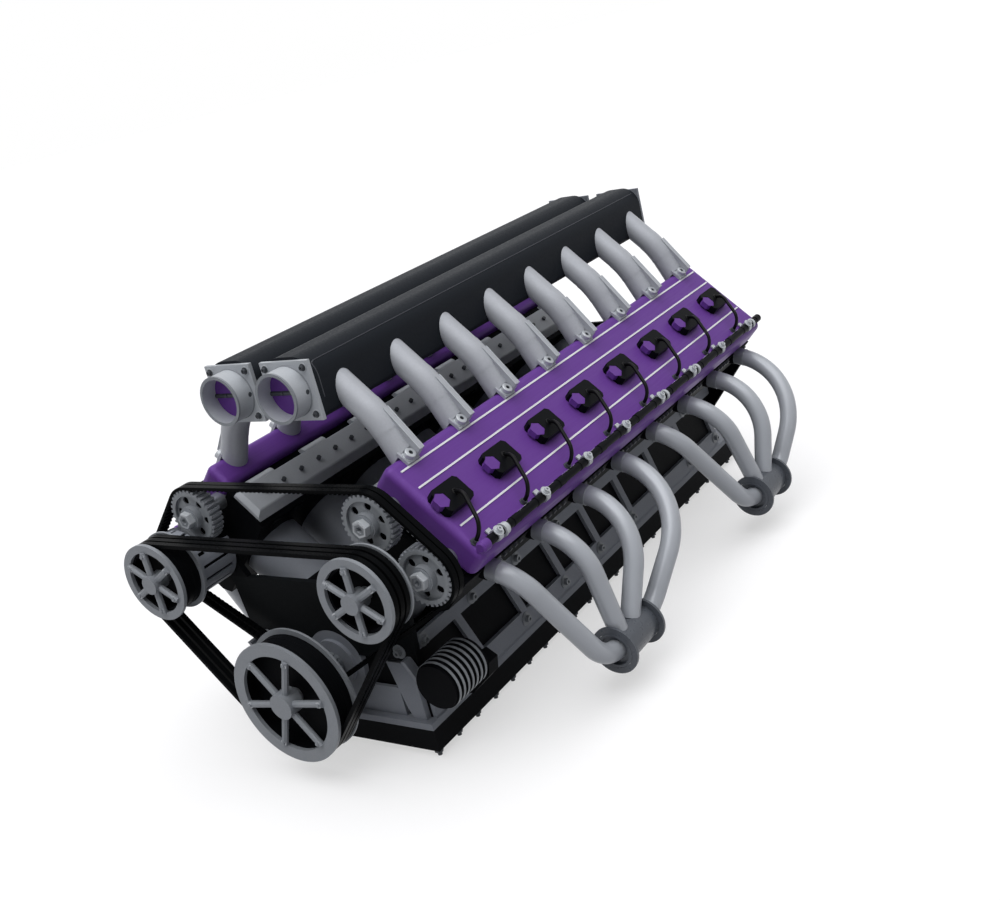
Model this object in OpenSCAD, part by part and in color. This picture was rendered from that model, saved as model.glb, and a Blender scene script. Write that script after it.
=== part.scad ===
// Sixteen-cylinder V engine, built piece by piece
// Origin: crank axis at the rear face of the crank flange
// Minus Y is the front with the pulleys, plus X the right bank, plus Z is up
// Inside on_bank() X is u, measured across the bank from the cylinder axis,
// and Z is n, measured outwards from the crank axis

/* [Cylinders] */
// Distance between neighbouring cylinders in a bank
bore_pitch = 105; // [103:1:108]
// Cylinder bore
bore_d = 76; // [72:1:78]
// Wall of a cylinder barrel
barrel_wall = 4; // [3.5:0.5:4.5]
// Piston stroke
stroke = 66; // [60:1:68]

/* [Covers] */
// Height of a valve cover
cover_h = 42; // [40:1:44]
// Round of the cover edges
cover_round = 10; // [8:1:11]

/* [Intake] */
// Outside diameter of an intake runner
runner_d = 36; // [34:1:38]
// Height of the plenum body
plenum_h = 76; // [74:1:80]
// Outside diameter of a throttle tube
throttle_d = 62; // [58:1:64]

/* [Exhaust] */
// Outside diameter of an exhaust pipe
pipe_d = 26; // [24:1:27]
// Outside diameter of a collector
collector_d = 48; // [46:1:52]

/* [Front drive] */
// Outside diameter of a cam gear over its teeth
cam_gear_d = 74; // [70:1:76]
// Outside diameter of the crank pulley
crank_pulley_d = 164; // [158:1:168]
// Outside diameter of the two upper pulleys
upper_pulley_d = 104; // [98:1:108]

/* [Sump] */
// Thickness of the black sump slab
pan_t = 30; // [28:1:34]

/* [Hidden] */
$fn = 48;
eps = 0.01;
per_bank = 8;
sides = [-1, 1];
half_v = 45;
gap = 0.3;
run_gap = 0.06;
lap = 0.5;
skin = 0.05;

// Stations along the crank, cylinder 1 at zero before the shift
last_y = (per_bank - 1) * bore_pitch;
rear_reach = 145;
shift_y = -(last_y + rear_reach);
block_front = -bore_pitch / 2 - 5.5;
block_rear = last_y + 70;
bell_rear = last_y + 130;
cover_over = 44;
cover_y0 = -cover_over;
cover_y1 = last_y + cover_over;
head_y0 = -50;
head_y1 = last_y + 50;

// Bank stations, measured out from the crank axis
deck_n = 95;
barrel_top = 180;
head_shoulder = 233;
cover_base = 248;
cover_top = cover_base + cover_h;
cover_u0 = -77;
cover_u1 = 79;
head_u0 = -76;
head_u1 = 79;
neck_u0 = cover_u0 + cover_round;
neck_u1 = cover_u1 - cover_round;
cover_wall = 4;
cam_u = 44.2;
cam_n = 252.8;
tower_t = 16;
rail_n0 = 194;
rail_u = -86;

// Coils, leads and harness on a cover
coil_y = -13;
coil_h = 12;
coil_u = 17.5;
coil_l = 25;
coil_cut = 4.5;
plug_y = coil_y - 20;
plug_r = 11;
lead_r = 2.6;
lead_u = 57.5;
lead_y = -36;
conduit_r = 6;
conduit_u = 68.5;
conduit_n = cover_top + conduit_r + gap;
clip_y = -10;
second_bands = [0, 4, 5, 7];
stripes = [-59.7, -32, 32.8, 63];

// Crankcase
case_x = 128;
case_floor = -70;
case_shelf = 30;
case_rim = 44;
rim_t = 12;
bay_r = 80;
web_t = 26;
main_r = 30;
throw_r = stroke / 2;
pin_r = 21;
cheek_t = 14;
cap_w = 56;
cap_h = 36;
piston_h = 46;
phases = [0, 180, 90, 270, 270, 90, 180, 0];
bell_r = 100;
bell_hole_r = 88;
rear_wall_t = 8;
bell_holes = [0, 40, 90, 140, 180];

// Truss on the block sides
truss_t = 6;
rail_low = -66;
rail_low_h = 24;
rail_top = 24;
rail_top_h = 18;
strut_w = 13;

// Sump
pan_x = 136;
pan_y0 = -73;
pan_y1 = bell_rear;
flange_t = 9;
pan_bolt_count = 22;

// Intake
plenum_x = 47.5;
plenum_w = 77;
plenum_z = 357;
plenum_wall = 4;
plenum_y0 = -45;
plenum_y1 = last_y + 40;
plate_t = 5;
plate_w = 77;
plate_h = 73;
throttle_l = 26;
throttle_wall = 3.5;
disc_r = throttle_d / 2 - throttle_wall - gap;
disc_t = 2;
disc_y = plenum_y0 - plate_t - 4.2;
shaft_r = 3;
runner_wall = 3;
plenum_side = plenum_x + plenum_w / 2;
runner_z = 340;
runner_slope = 46;
runner_slope_end = 65;
runner_leg = 53;
runner_reach = 80;
runner_bend = 110;
// The straight legs are this much slimmer than the bend, so that the step meshes cleanly
runner_step = 0.4;
lug_y = -7;
lug_u = -69.5;

// Exhaust
port_u = 82;
port_n = 239;
exhaust_drop = 15;
pipe_wall = 2.2;
collector_x = 303;
collector_z = -52;
collector_l = 78;
joint_share = [0.25, 0.63];
collector_y = [100, 549];
outlet_turn = 45;
outlet_r = 16;
outlet_reach = 8;
collector_wall = 3;
ring_d = collector_d + 16;
ring_t = 4;

// Front drive
gear_y0 = -93;
gear_w = 18;
gear_teeth = 32;
tooth_h = 3;
sprocket_r = cam_gear_d / 4;
belt_t = 4;
pulley_y0 = -165;
ring_face = 5;
drum_l = 30;
rim_back = 3;
upper_x = 168;
upper_z = 153;
spokes = 6;
spoke_w = 9;
nose_r = 16;
nose_tip_r = 10;
axle_r = 8;
front_plate_t = 8;
front_plate_y = block_front - front_plate_t;
post_x = 118;
post_z = 98;
alternator_r = 45;
alternator_y0 = pulley_y0 + ring_face + drum_l + rim_back + 2;
filter_x = 175;
filter_z = -3;
filter_r = 30.5;

function cyl_y(i) = i * bore_pitch;
function deck_x(z) = (deck_n - z * cos(half_v)) / sin(half_v);
function deck_z(x) = (deck_n - x * sin(half_v)) / cos(half_v);
function unit(v) = v / norm(v);
function bank_to_x(u, n) = n * sin(half_v) + u * cos(half_v);
function bank_to_z(u, n) = n * cos(half_v) - u * sin(half_v);

// Placing
module engine() {
  translate([0, shift_y, 0]) children();
}

module mirrored(side) {
  mirror([side < 0 ? 1 : 0, 0, 0]) children();
}

module on_bank(side) {
  mirrored(side) rotate([0, half_v, 0]) children();
}

module each_cylinder() {
  for (i = [0 : per_bank - 1]) translate([0, cyl_y(i), 0]) children();
}

// Simple shapes
module block(a, b) {
  translate(a) cube(b - a);
}

module rod_y(r, y0, y1) {
  translate([0, y0, 0]) rotate([-90, 0, 0]) cylinder(r = r, h = y1 - y0);
}

module prism_y(points, y0, y1) {
  translate([0, y1, 0]) rotate([90, 0, 0]) linear_extrude(y1 - y0) polygon(points);
}

module prism_x(points, x0, x1) {
  translate([x0, 0, 0]) rotate([90, 0, 90]) linear_extrude(x1 - x0) polygon(points);
}

module rod_between(a, b, r) {
  v = b - a;
  l = norm(v);
  translate(a) rotate([0, acos(v[2] / l), atan2(v[1], v[0])]) cylinder(r = r, h = l);
}

// One bend of a pipe: the arc that rounds corner p between a and b
module bend(a, p, b, bend_r, r) {
  d1 = unit(a - p);
  d2 = unit(b - p);
  open_angle = acos(d1 * d2);
  centre = p + unit(d1 + d2) * bend_r / sin(open_angle / 2);
  start = p + d1 * bend_r / tan(open_angle / 2);
  ex = unit(start - centre);
  ez = unit(cross(d2, d1));
  ey = cross(ez, ex);
  multmatrix([
    [ex[0], ey[0], ez[0], centre[0]],
    [ex[1], ey[1], ez[1], centre[1]],
    [ex[2], ey[2], ez[2], centre[2]],
    [0, 0, 0, 1]
  ]) rotate_extrude(angle = 180 - open_angle) translate([bend_r, 0]) circle(r = r);
}

function tangent_cut(a, p, b, bend_r) = bend_r / tan(acos(unit(a - p) * unit(b - p)) / 2);

// A pipe through four points with its two inner corners rounded; the straight parts
// are a hair thinner and reach into the bends, and both ends run on by over
module bent_pipe(q, bend_1, bend_2, r, over = 0) {
  d1 = unit(q[1] - q[0]);
  d2 = unit(q[2] - q[1]);
  d3 = unit(q[3] - q[2]);
  cut_1 = tangent_cut(q[0], q[1], q[2], bend_1);
  cut_2 = tangent_cut(q[1], q[2], q[3], bend_2);
  rod_between(q[0] - d1 * over, q[1] - d1 * (cut_1 - lap), r - skin);
  bend(q[0], q[1], q[2], bend_1, r);
  rod_between(q[1] + d2 * (cut_1 - lap), q[2] - d2 * (cut_2 - lap), r - skin);
  bend(q[1], q[2], q[3], bend_2, r);
  rod_between(q[2] + d3 * (cut_2 - lap), q[3] + d3 * over, r - skin);
}

// A block with every edge rounded
module rounded_block(a, b, r) {
  block([a[0] + r, a[1] + r, a[2]], [b[0] - r, b[1] - r, b[2]]);
  block([a[0], a[1] + r, a[2] + r], [b[0], b[1] - r, b[2] - r]);
  block([a[0] + r, a[1], a[2] + r], [b[0] - r, b[1], b[2] - r]);
  for (x = [a[0] + r, b[0] - r], z = [a[2] + r, b[2] - r])
    translate([x, 0, z]) rod_y(r, a[1] + r, b[1] - r);
  for (x = [a[0] + r, b[0] - r], y = [a[1] + r, b[1] - r])
    translate([x, y, a[2] + r]) cylinder(r = r, h = b[2] - a[2] - 2 * r);
  for (y = [a[1] + r, b[1] - r], z = [a[2] + r, b[2] - r])
    translate([a[0] + r, y, z]) rotate([0, 90, 0]) cylinder(r = r, h = b[0] - a[0] - 2 * r);
  for (x = [a[0] + r, b[0] - r], y = [a[1] + r, b[1] - r], z = [a[2] + r, b[2] - r])
    translate([x, y, z]) sphere(r = r);
}

// Socket-head screw with a washer, standing on z = 0
module capped_screw(head_r, head_h, washer_r) {
  difference() {
    union() {
      cylinder(r = washer_r, h = 1.5);
      cylinder(r = head_r, h = head_h);
    }
    translate([0, 0, head_h - 2.5]) cylinder(r = head_r * 0.5, h = 3, $fn = 6);
  }
}

// Crankcase
module case_outline() {
  polygon([
    [-case_x, case_floor], [case_x, case_floor], [case_x, case_rim], [case_x - rim_t, case_rim],
    [case_x - rim_t, case_shelf], [deck_x(case_shelf), case_shelf],
    [case_shelf, deck_z(case_shelf)], [0, deck_z(case_shelf) - 20],
    [-case_shelf, deck_z(case_shelf)], [-deck_x(case_shelf), case_shelf],
    [rim_t - case_x, case_shelf],
    [rim_t - case_x, case_rim], [-case_x, case_rim]
  ]);
}

module crank_bays() {
  for (i = [0 : per_bank - 1]) {
    y0 = cyl_y(i) - bore_pitch / 2 + web_t / 2;
    y1 = cyl_y(i) + bore_pitch / 2 - web_t / 2;
    rod_y(bay_r, y0, y1);
    block([-bay_r, y0, case_floor - 1], [bay_r, y1, 0]);
  }
}

module crankcase() {
  color("#17181b") engine() difference() {
    union() {
      translate([0, block_rear, 0]) rotate([90, 0, 0]) linear_extrude(block_rear - block_front)
        case_outline();
      bell_flange();
    }
    crank_bays();
    rod_y(main_r + run_gap, block_front - 1, bell_rear + 1);
    for (side = sides) on_bank(side) each_cylinder() {
      translate([0, 0, bay_r * 0.8]) cylinder(d = bore_d, h = deck_n);
      translate([0, 0, deck_n - 6]) cylinder(d = bore_d + barrel_wall + 2 * gap, h = 20);
    }
    cap_recesses();
    for (a = bell_holes) translate([bell_hole_r * cos(a), 0, bell_hole_r * sin(a)])
      rod_y(5.5, bell_rear - 20, bell_rear + 1);
  }
}

// Rear wall with its slanted sides and the clutch housing behind it
module bell_flange() {
  prism_y([
    [-case_x, case_floor], [case_x, case_floor], [case_x, -12], [205, 78], [120, 165],
    [-120, 165], [-205, 78], [-case_x, -12]
  ], block_rear - rear_wall_t, block_rear);
  intersection() {
    difference() {
      rod_y(bell_r, block_rear - rear_wall_t, bell_rear);
      rod_y(bell_hole_r - 12, block_rear + 10, bell_rear + 1);
    }
    block([-bell_r, block_rear - rear_wall_t - 1, case_floor], [bell_r, bell_rear + 1, bell_r]);
  }
}

function web_y(i) = cyl_y(i) - bore_pitch / 2;

module cap_recesses() {
  for (i = [0 : per_bank])
    block([-cap_w - gap, max(web_y(i) - web_t / 2 - 1, block_front + 4), case_floor - 1],
          [cap_w + gap, web_y(i) + web_t / 2 + 1, 0]);
}

module main_bearing_caps() {
  color("#565a60") engine() for (i = [0 : per_bank]) {
    y = web_y(i);
    difference() {
      union() {
        block([-cap_w, max(y - web_t / 2 + 2, block_front + 4 + gap), -cap_h],
              [cap_w, y + web_t / 2 - 2, 0]);
        for (x = [-45, 45]) translate([x, y + 5, -cap_h - 8]) cylinder(r = 6, h = 9, $fn = 6);
      }
      rod_y(main_r + run_gap, y - web_t, y + web_t);
    }
  }
}

module cylinder_barrels() {
  color("#a2a7ad") engine() for (side = sides) on_bank(side) each_cylinder() difference() {
    union() {
      translate([0, 0, deck_n]) cylinder(d = bore_d + 2 * barrel_wall, h = barrel_top - deck_n);
      translate([0, 0, deck_n - 6]) cylinder(d = bore_d + barrel_wall, h = 8);
    }
    translate([0, 0, deck_n - 7]) cylinder(d = bore_d, h = barrel_top);
  }
}

module pistons() {
  color("#9a9ea4") engine() for (side = sides) on_bank(side) each_cylinder()
    translate([0, 0, barrel_top - 12 - piston_h]) difference() {
      cylinder(d = bore_d - 2 * run_gap, h = piston_h);
      translate([0, 0, -1]) cylinder(d = bore_d - 14, h = piston_h - 9);
      for (k = [0 : 2]) translate([0, 0, piston_h - 8 - 5 * k]) difference() {
        cylinder(d = bore_d + 2, h = 1.6);
        translate([0, 0, -1]) cylinder(d = bore_d - 5, h = 4);
      }
      translate([0, 40, 14]) rotate([90, 0, 0]) cylinder(r = 9, h = 80);
    }
}

// Truss frames bolted to the block sides
function strut_top(i) = cyl_y(i) + 26;
function strut_foot(i) = cyl_y(i) + bore_pitch / 2 + 1;

module side_frame() {
  y1 = block_rear - rear_wall_t - gap;
  block([case_x, block_front, rail_low], [case_x + truss_t, y1, rail_low + rail_low_h]);
  block([case_x, block_front, rail_top], [case_x + truss_t, y1, rail_top + rail_top_h]);
  for (i = [-1 : per_bank - 1]) prism_x([
    [strut_foot(i) - strut_w / 2, rail_low + rail_low_h - 1],
    [strut_foot(i) + strut_w / 2, rail_low + rail_low_h - 1],
    [strut_top(i) + strut_w / 2, rail_top + 1],
    [strut_top(i) - strut_w / 2, rail_top + 1]
  ], case_x, case_x + truss_t);
  prism_y([
    [case_x, rail_low], [case_x + truss_t, rail_low], [case_x + truss_t, rail_low - 2],
    [pan_x, case_floor], [case_x, case_floor]
  ], block_front, y1);
}

module side_frames() {
  color("#8d9298") engine() for (side = sides) mirrored(side) side_frame();
}

module block_bolts() {
  color("#b4b8bc") engine() {
    for (side = sides) mirrored(side) for (i = [0 : per_bank - 1]) {
      translate([case_x + truss_t, cyl_y(i) + 52, rail_low + rail_low_h / 2])
        rotate([0, 90, 0]) capped_screw(5, 7, 7.5);
      translate([case_x + truss_t, cyl_y(i) - 44, rail_top + rail_top_h / 2])
        rotate([0, 90, 0]) capped_screw(5, 7, 7.5);
    }
    for (x = [-112, 112]) translate([x, front_plate_y, 26]) rotate([90, 0, 0])
      capped_screw(5, 7, 7.5);
  }
}

// Crankshaft
module crank_throw(i) {
  a = phases[i];
  y = cyl_y(i);
  half = bore_pitch / 2 - web_t / 2 - 2;
  rotate([0, a, 0]) {
    translate([0, 0, throw_r]) rod_y(pin_r, y - half, y + half);
    for (s = sides) {
      y0 = s < 0 ? y - half : y + half - cheek_t;
      rod_y(main_r + 8, y0, y0 + cheek_t);
      translate([0, 0, throw_r]) rod_y(pin_r + 6, y0, y0 + cheek_t);
      prism_y([[-36, 8], [36, 8], [27, throw_r], [-27, throw_r]], y0, y0 + cheek_t);
      intersection() {
        rod_y(bay_r - 12, y0, y0 + cheek_t);
        prism_y([[-60, -70], [60, -70], [38, 4], [-38, 4]], y0, y0 + cheek_t);
      }
    }
  }
}

module crankshaft() {
  color("#8a8f95") engine() {
    for (i = [0 : per_bank]) {
      y = web_y(i);
      rod_y(main_r, max(y - web_t / 2 - 2 - eps, block_front + gap), y + web_t / 2 + 2 + eps);
    }
    for (i = [0 : per_bank - 1]) crank_throw(i);
    difference() {
      union() {
        rod_y(main_r, last_y + bore_pitch / 2, last_y + rear_reach);
        rod_y(52, last_y + rear_reach - 14, last_y + rear_reach);
      }
      rod_y(14, last_y + rear_reach - 20, last_y + rear_reach + 1);
      for (k = [0 : 7]) rotate([0, k * 45, 0]) translate([40, 0, 0])
        rod_y(5, last_y + rear_reach - 15, last_y + rear_reach + 1);
    }
    rod_y(nose_r, pulley_y0 + ring_face + drum_l + rim_back + gap, web_y(0));
    rod_y(nose_tip_r, pulley_y0 + 6, gear_y0);
    toothed_wheel(sprocket_r, 16, gear_y0, gear_y0 + gear_w);
  }
}

// A toothed wheel standing along Y
module toothed_wheel(r, teeth, y0, y1) {
  rod_y(r - tooth_h, y0, y1);
  for (k = [0 : teeth - 1]) rotate([0, k * 360 / teeth, 0])
    prism_y([
      [-r * 2.0 / teeth, r - tooth_h - 1], [r * 2.0 / teeth, r - tooth_h - 1],
      [r * 1.3 / teeth, r - 0.1], [-r * 1.3 / teeth, r - 0.1]
    ], y0, y1);
}

// Pulleys
module pulley_face(d, hub_r, bore_r, turn) {
  r = d / 2;
  face_w = r * 0.2;
  difference() {
    rod_y(r, pulley_y0, pulley_y0 + ring_face);
    rod_y(r - face_w, pulley_y0 - 1, pulley_y0 + ring_face + 1);
  }
  difference() {
    rod_y(r + 1, pulley_y0 + ring_face + drum_l, pulley_y0 + ring_face + drum_l + rim_back);
    rod_y(r - 12, pulley_y0 + ring_face + drum_l - 1, pulley_y0 + ring_face + drum_l + rim_back + 1);
  }
  difference() {
    union() {
      rod_y(hub_r, pulley_y0 - 8, pulley_y0 + 14);
      for (k = [0 : spokes - 1]) rotate([0, k * 360 / spokes + turn, 0])
        spoke(hub_r - 2, r - face_w + 1);
    }
    rod_y(bore_r, pulley_y0 + 4, pulley_y0 + 20);
  }
}

module spoke(r0, r1) {
  translate([0, pulley_y0 + spoke_w / 2 - 4, r0]) rotate([0, 0, 22.5])
    cylinder(r = spoke_w / 2, h = r1 - r0, $fn = 8);
  translate([0, pulley_y0 - 2, r1 - 5]) rotate([90, 0, 0]) cylinder(r = 2.6, h = 3, $fn = 6);
}

module pulley_drum(d, bore_r) {
  r = d / 2 - 6;
  difference() {
    union() {
      rod_y(r, pulley_y0 + ring_face, pulley_y0 + ring_face + drum_l);
      rod_y(r - 8, pulley_y0 + ring_face + drum_l - eps,
            pulley_y0 + ring_face + drum_l + rim_back);
    }
    rod_y(r - 8, pulley_y0, pulley_y0 + 22);
    rod_y(bore_r + gap, pulley_y0, pulley_y0 + 60);
  }
}

module crank_pulley() {
  color("#8f949a") engine() pulley_face(crank_pulley_d, 17, nose_tip_r + gap, 22);
}

module crank_pulley_drum() {
  color("#1d2026") engine() pulley_drum(crank_pulley_d, nose_tip_r);
}

module at_upper(side) {
  translate([side * upper_x, 0, upper_z]) children();
}

module alternator_pulley() {
  color("#8f949a") engine() at_upper(-1) {
    pulley_face(upper_pulley_d, 12, axle_r, 0);
    rod_y(axle_r, pulley_y0 + 4, -112);
  }
}

module alternator_drum() {
  color("#1d2026") engine() at_upper(-1) pulley_drum(upper_pulley_d, axle_r);
}

module pump_pulley() {
  color("#8f949a") engine() at_upper(1) {
    pulley_face(upper_pulley_d, 12, axle_r, 0);
    rod_y(axle_r, pulley_y0 + 4, -112);
  }
}

module pump_drum() {
  color("#1d2026") engine() at_upper(1) pulley_drum(upper_pulley_d, axle_r);
}

// Sump
module pan_rail() {
  color("#8d9298") engine() difference() {
    block([-pan_x, pan_y0, case_floor - flange_t], [pan_x, pan_y1, case_floor]);
    block([-112, block_front + 16, case_floor - flange_t - 1],
          [112, block_rear - 16, case_floor + 1]);
  }
}

module oil_pan() {
  top = case_floor - flange_t;
  color("#141518") engine() difference() {
    union() {
      block([-pan_x, pan_y0, top - pan_t], [pan_x, pan_y1 - 24, top]);
      prism_x([[pan_y1 - 24 - eps, top], [pan_y1, top], [pan_y1, top - pan_t * 0.4],
               [pan_y1 - pan_t * 0.6, top - pan_t], [pan_y1 - 24 - eps, top - pan_t]],
              -pan_x, pan_x);
    }
    block([-112, block_front + 16, top - pan_t + 6], [112, block_rear - 16, top + 1]);
    translate([0, 60, top - pan_t - 1]) cylinder(r = 9, h = 8);
  }
}

module pan_bolts() {
  pitch = (pan_y1 - pan_y0 - 45) / (pan_bolt_count - 1);
  top = case_floor - flange_t - pan_t;
  color("#5c6066") engine() {
    for (side = sides, k = [0 : pan_bolt_count - 1])
      translate([side * (pan_x - 9), pan_y0 + 9 + k * pitch, top - 6]) {
        cylinder(r = 6, h = 6, $fn = 6);
        translate([0, 0, -5]) cylinder(r = 3, h = 6);
      }
    translate([0, 60, top - 5]) cylinder(r = 13, h = 5, $fn = 6);
  }
}

// Front plate and the housing round the crank nose
module front_cover() {
  color("#34383b") engine() difference() {
    prism_y([[-146, 112], [146, 112], [137, 13], [-137, 13]], front_plate_y, block_front);
    rod_y(44 + gap, front_plate_y - 1, block_front + 1);
  }
}

module front_housing() {
  color("#9a9fa5") engine() difference() {
    union() {
      rod_y(44, front_plate_y, block_front);
      rod_y(32, front_plate_y - 5, front_plate_y + 1);
      for (side = sides) mirrored(side)
        prism_y([[84, 9], [124, 9], [124, case_floor], [104, case_floor], [98, -56]],
                front_plate_y, block_front);
      block([-90, front_plate_y + 3, case_floor], [90, block_front, -30]);
    }
    rod_y(nose_r + gap, front_plate_y - 8, block_front + 1);
  }
}

// Cylinder heads with their cam bearing towers
function tower_y(i) = cyl_y(i) + bore_pitch / 2;

module port_axis(t0, t1, r) {
  d = [cos(exhaust_drop), 0, -sin(exhaust_drop)];
  start = [bank_to_x(port_u, port_n), 0, bank_to_z(port_u, port_n)];
  rod_between(start + d * t0, start + d * t1, r);
}

module cam_space() {
  for (i = [0 : per_bank - 1])
    rod_y(23, i == 0 ? cover_y0 + 6 : tower_y(i - 1) + tower_t / 2,
          i == per_bank - 1 ? cover_y1 - 6 : tower_y(i) - tower_t / 2);
  rod_y(14 + run_gap, 0, last_y);
  rod_y(12 + gap, cover_y0 - 1, 0);
}

module exhaust_bosses(side) {
  difference() {
    mirrored(side) each_cylinder() port_axis(-14, -skin, pipe_d / 2 + 1.5);
    on_bank(side) block([-neck_u1, head_y0, head_shoulder + 12], [head_u1 + gap, head_y1, cover_top]);
    on_bank(side) block([-neck_u1, head_y0, barrel_top], [head_u1 - 4, head_y1, cover_top]);
  }
}

module cylinder_head(side) {
  color("#1b1c1f") engine() difference() {
    union() {
      on_bank(side) {
        prism_y([[head_u0 + 6, barrel_top], [head_u1 - 8, barrel_top], [head_u1, rail_n0],
                 [head_u1, head_shoulder + 12], [neck_u1, head_shoulder + 12],
                 [neck_u1, head_shoulder], [head_u0, head_shoulder], [head_u0, rail_n0]],
                head_y0, head_y1);
        block([neck_u0, cover_y0 + 1, head_shoulder - eps], [neck_u1, cover_y1 - 1, cover_base]);
        for (u = [-cam_u, cam_u], i = [0 : per_bank - 2])
          block([u - 20, tower_y(i) - tower_t / 2, cover_base - 1],
                [u + 20, tower_y(i) + tower_t / 2, cam_n + 19]);
        each_cylinder() for (k = sides)
          translate([-58, 19 * k, barrel_top - 3]) cylinder(r = 11, h = 4);
      }
      exhaust_bosses(side);
    }
    on_bank(side) {
      for (u = [-cam_u, cam_u]) translate([u, 0, cam_n]) cam_space();
      each_cylinder() {
        translate([0, 0, barrel_top - 1]) cylinder(r = bore_d / 2 - 3, h = 9);
        translate([0, 0, barrel_top]) cylinder(r = 11, h = cover_base);
      }
    }
    mirrored(side) each_cylinder() port_axis(-30, 1, pipe_d / 2 - pipe_wall);
  }
}

module cylinder_head_right() { cylinder_head(1); }
module cylinder_head_left() { cylinder_head(-1); }

// Light rails along the valley side of the heads, with a boss at each inlet
module head_rails() {
  color("#9a9fa5") engine() for (side = sides) on_bank(side) {
    difference() {
      prism_y([[rail_u + 10, rail_n0 - 9], [rail_u + 1, rail_n0], [rail_u, rail_n0 + 2],
               [rail_u, head_shoulder - 2], [rail_u + 3, head_shoulder], [head_u0, head_shoulder]],
              head_y0, head_y1);
      for (y = [head_y0, head_y1]) translate([rail_u - 4, y, 180]) rotate([0, 0, 45])
        block([-7, -7, 0], [7, 7, 80]);
    }
    each_cylinder() intersection() {
      translate([head_u0, 0, head_shoulder]) rod_y(9, -22, 22);
      block([rail_u, -23, head_shoulder - 1], [head_u0, 23, head_shoulder + 10]);
    }
  }
}

// Small screws: rail screws, runner lugs and plenum plates
module bank_bolts() {
  color("#b9bdc1") engine() for (side = sides) {
    on_bank(side) {
      for (k = [0 : 3 * per_bank - 2])
        translate([rail_u, 19 - bore_pitch / 3 + k * bore_pitch / 3, 213])
          rotate([0, -90, 0]) cylinder(r = 3.4, h = 4, $fn = 6);
      each_cylinder() translate([lug_u, lug_y - 1, cover_top + 4]) capped_screw(4, 7, 6.5);
    }
    mirrored(side) for (end = [0, 1], x = [-1, 1], z = [-1, 1])
      translate([plenum_x + x * (plate_w / 2 - 8),
                 end == 0 ? plenum_y0 - plate_t : plenum_y1 + plate_t,
                 plenum_z + z * (plate_h / 2 - 8)])
        rotate([end == 0 ? 90 : -90, 0, 0]) capped_screw(2.8, 4.5, 4.4);
  }
}

// Valve covers: rounded boxes, open below
module cover_body() {
  rounded_block([cover_u0, cover_y0, cover_base], [cover_u1, cover_y1, cover_top],
                cover_round);
}

module valve_cover(side) {
  color("#5b3290") engine() on_bank(side) difference() {
    cover_body();
    block([neck_u0 + 2, cover_y0 + cover_round + 2, cover_base - 1],
          [neck_u1 - 2, cover_y1 - cover_round - 2, cover_top - cover_wall]);
    for (u = [-cam_u, cam_u]) translate([u, 0, cam_n]) rod_y(12 + gap, cover_y0 - 1, 0);
  }
}

module valve_cover_right() { valve_cover(1); }
module valve_cover_left() { valve_cover(-1); }

module cover_stripes() {
  color("#e4e4e8") engine() for (side = sides) on_bank(side) for (u = stripes)
    block([u - 1.2, cover_y0 + 12, cover_top], [u + 1.2, cover_y1 - 12, cover_top + 1]);
}

// Coils: a black cap with cut corners and a purple hexagonal plug at its front
module coil_caps() {
  color("#101113") engine() for (side = sides) on_bank(side) each_cylinder()
    translate([0, coil_y, cover_top]) difference() {
      linear_extrude(coil_h) polygon([
        [-coil_u, -coil_l + coil_cut], [-coil_u + coil_cut, -coil_l],
        [coil_u - coil_cut, -coil_l], [coil_u, -coil_l + coil_cut],
        [coil_u, coil_l - coil_cut], [coil_u - coil_cut, coil_l],
        [-coil_u + coil_cut, coil_l], [-coil_u, coil_l - coil_cut]
      ]);
      translate([-1, plug_y - coil_y, 3]) cylinder(r = plug_r + gap, h = coil_h, $fn = 6);
      translate([0, 5, coil_h - 4]) cylinder(r = 4, h = 5);
    }
}

module coil_plugs() {
  color("#5b3290") engine() for (side = sides) on_bank(side) each_cylinder()
    translate([-1, plug_y, cover_top + 3]) cylinder(r = plug_r, h = coil_h - 3.5, $fn = 6);
}

// Leads from each cap to the conduit at the outer edge
module ignition_leads() {
  color("#0d0d0e") engine() for (side = sides) on_bank(side) each_cylinder() {
    top = cover_top + coil_h;
    bent_pipe([[0, coil_y + 5, top - 3], [4, coil_y + 3, top + 12],
               [lead_u - 1, lead_y + 1, top + 11], [lead_u, lead_y, cover_top + 2]], 18, 19, lead_r);
    translate([lead_u, lead_y, cover_top]) cylinder(r = 3.6, h = 4);
  }
}

module harness_conduits() {
  color("#121214") engine() for (side = sides) on_bank(side)
    translate([conduit_u, 0, conduit_n]) {
      rod_y(conduit_r - 0.7, cover_y0 + 8, cover_y1 - 6);
      for (k = [0 : 2 * per_bank - 1]) {
        y = cyl_y(k / 2) - 30;
        rod_y(conduit_r, y, y + 14);
      }
    }
}

// Each clip has its screw on top of the band, and some have a second band beside them
module harness_clips() {
  color("#c3c6ca") engine() for (side = sides) on_bank(side) {
    difference() {
      union() {
        for (i = second_bands) translate([conduit_u, cyl_y(i), conduit_n])
          rod_y(conduit_r + 1.6, 4, 9);
        each_cylinder() {
          translate([conduit_u, clip_y, conduit_n]) rod_y(conduit_r + 1.6, -4, 4);
          block([conduit_u - 13, clip_y - 4, cover_top + 1], [conduit_u, clip_y + 4, cover_top + 3]);
        }
      }
      translate([conduit_u, 0, conduit_n]) rod_y(conduit_r - 0.7 + gap, cover_y0, cover_y1);
      block([conduit_u - 20, cover_y0, cover_top - 8], [conduit_u + 10, cover_y1, cover_top + 1]);
    }
    each_cylinder() translate([conduit_u - 1, clip_y, conduit_n + conduit_r + 1])
      capped_screw(3.4, 5, 4.4);
  }
}

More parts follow.
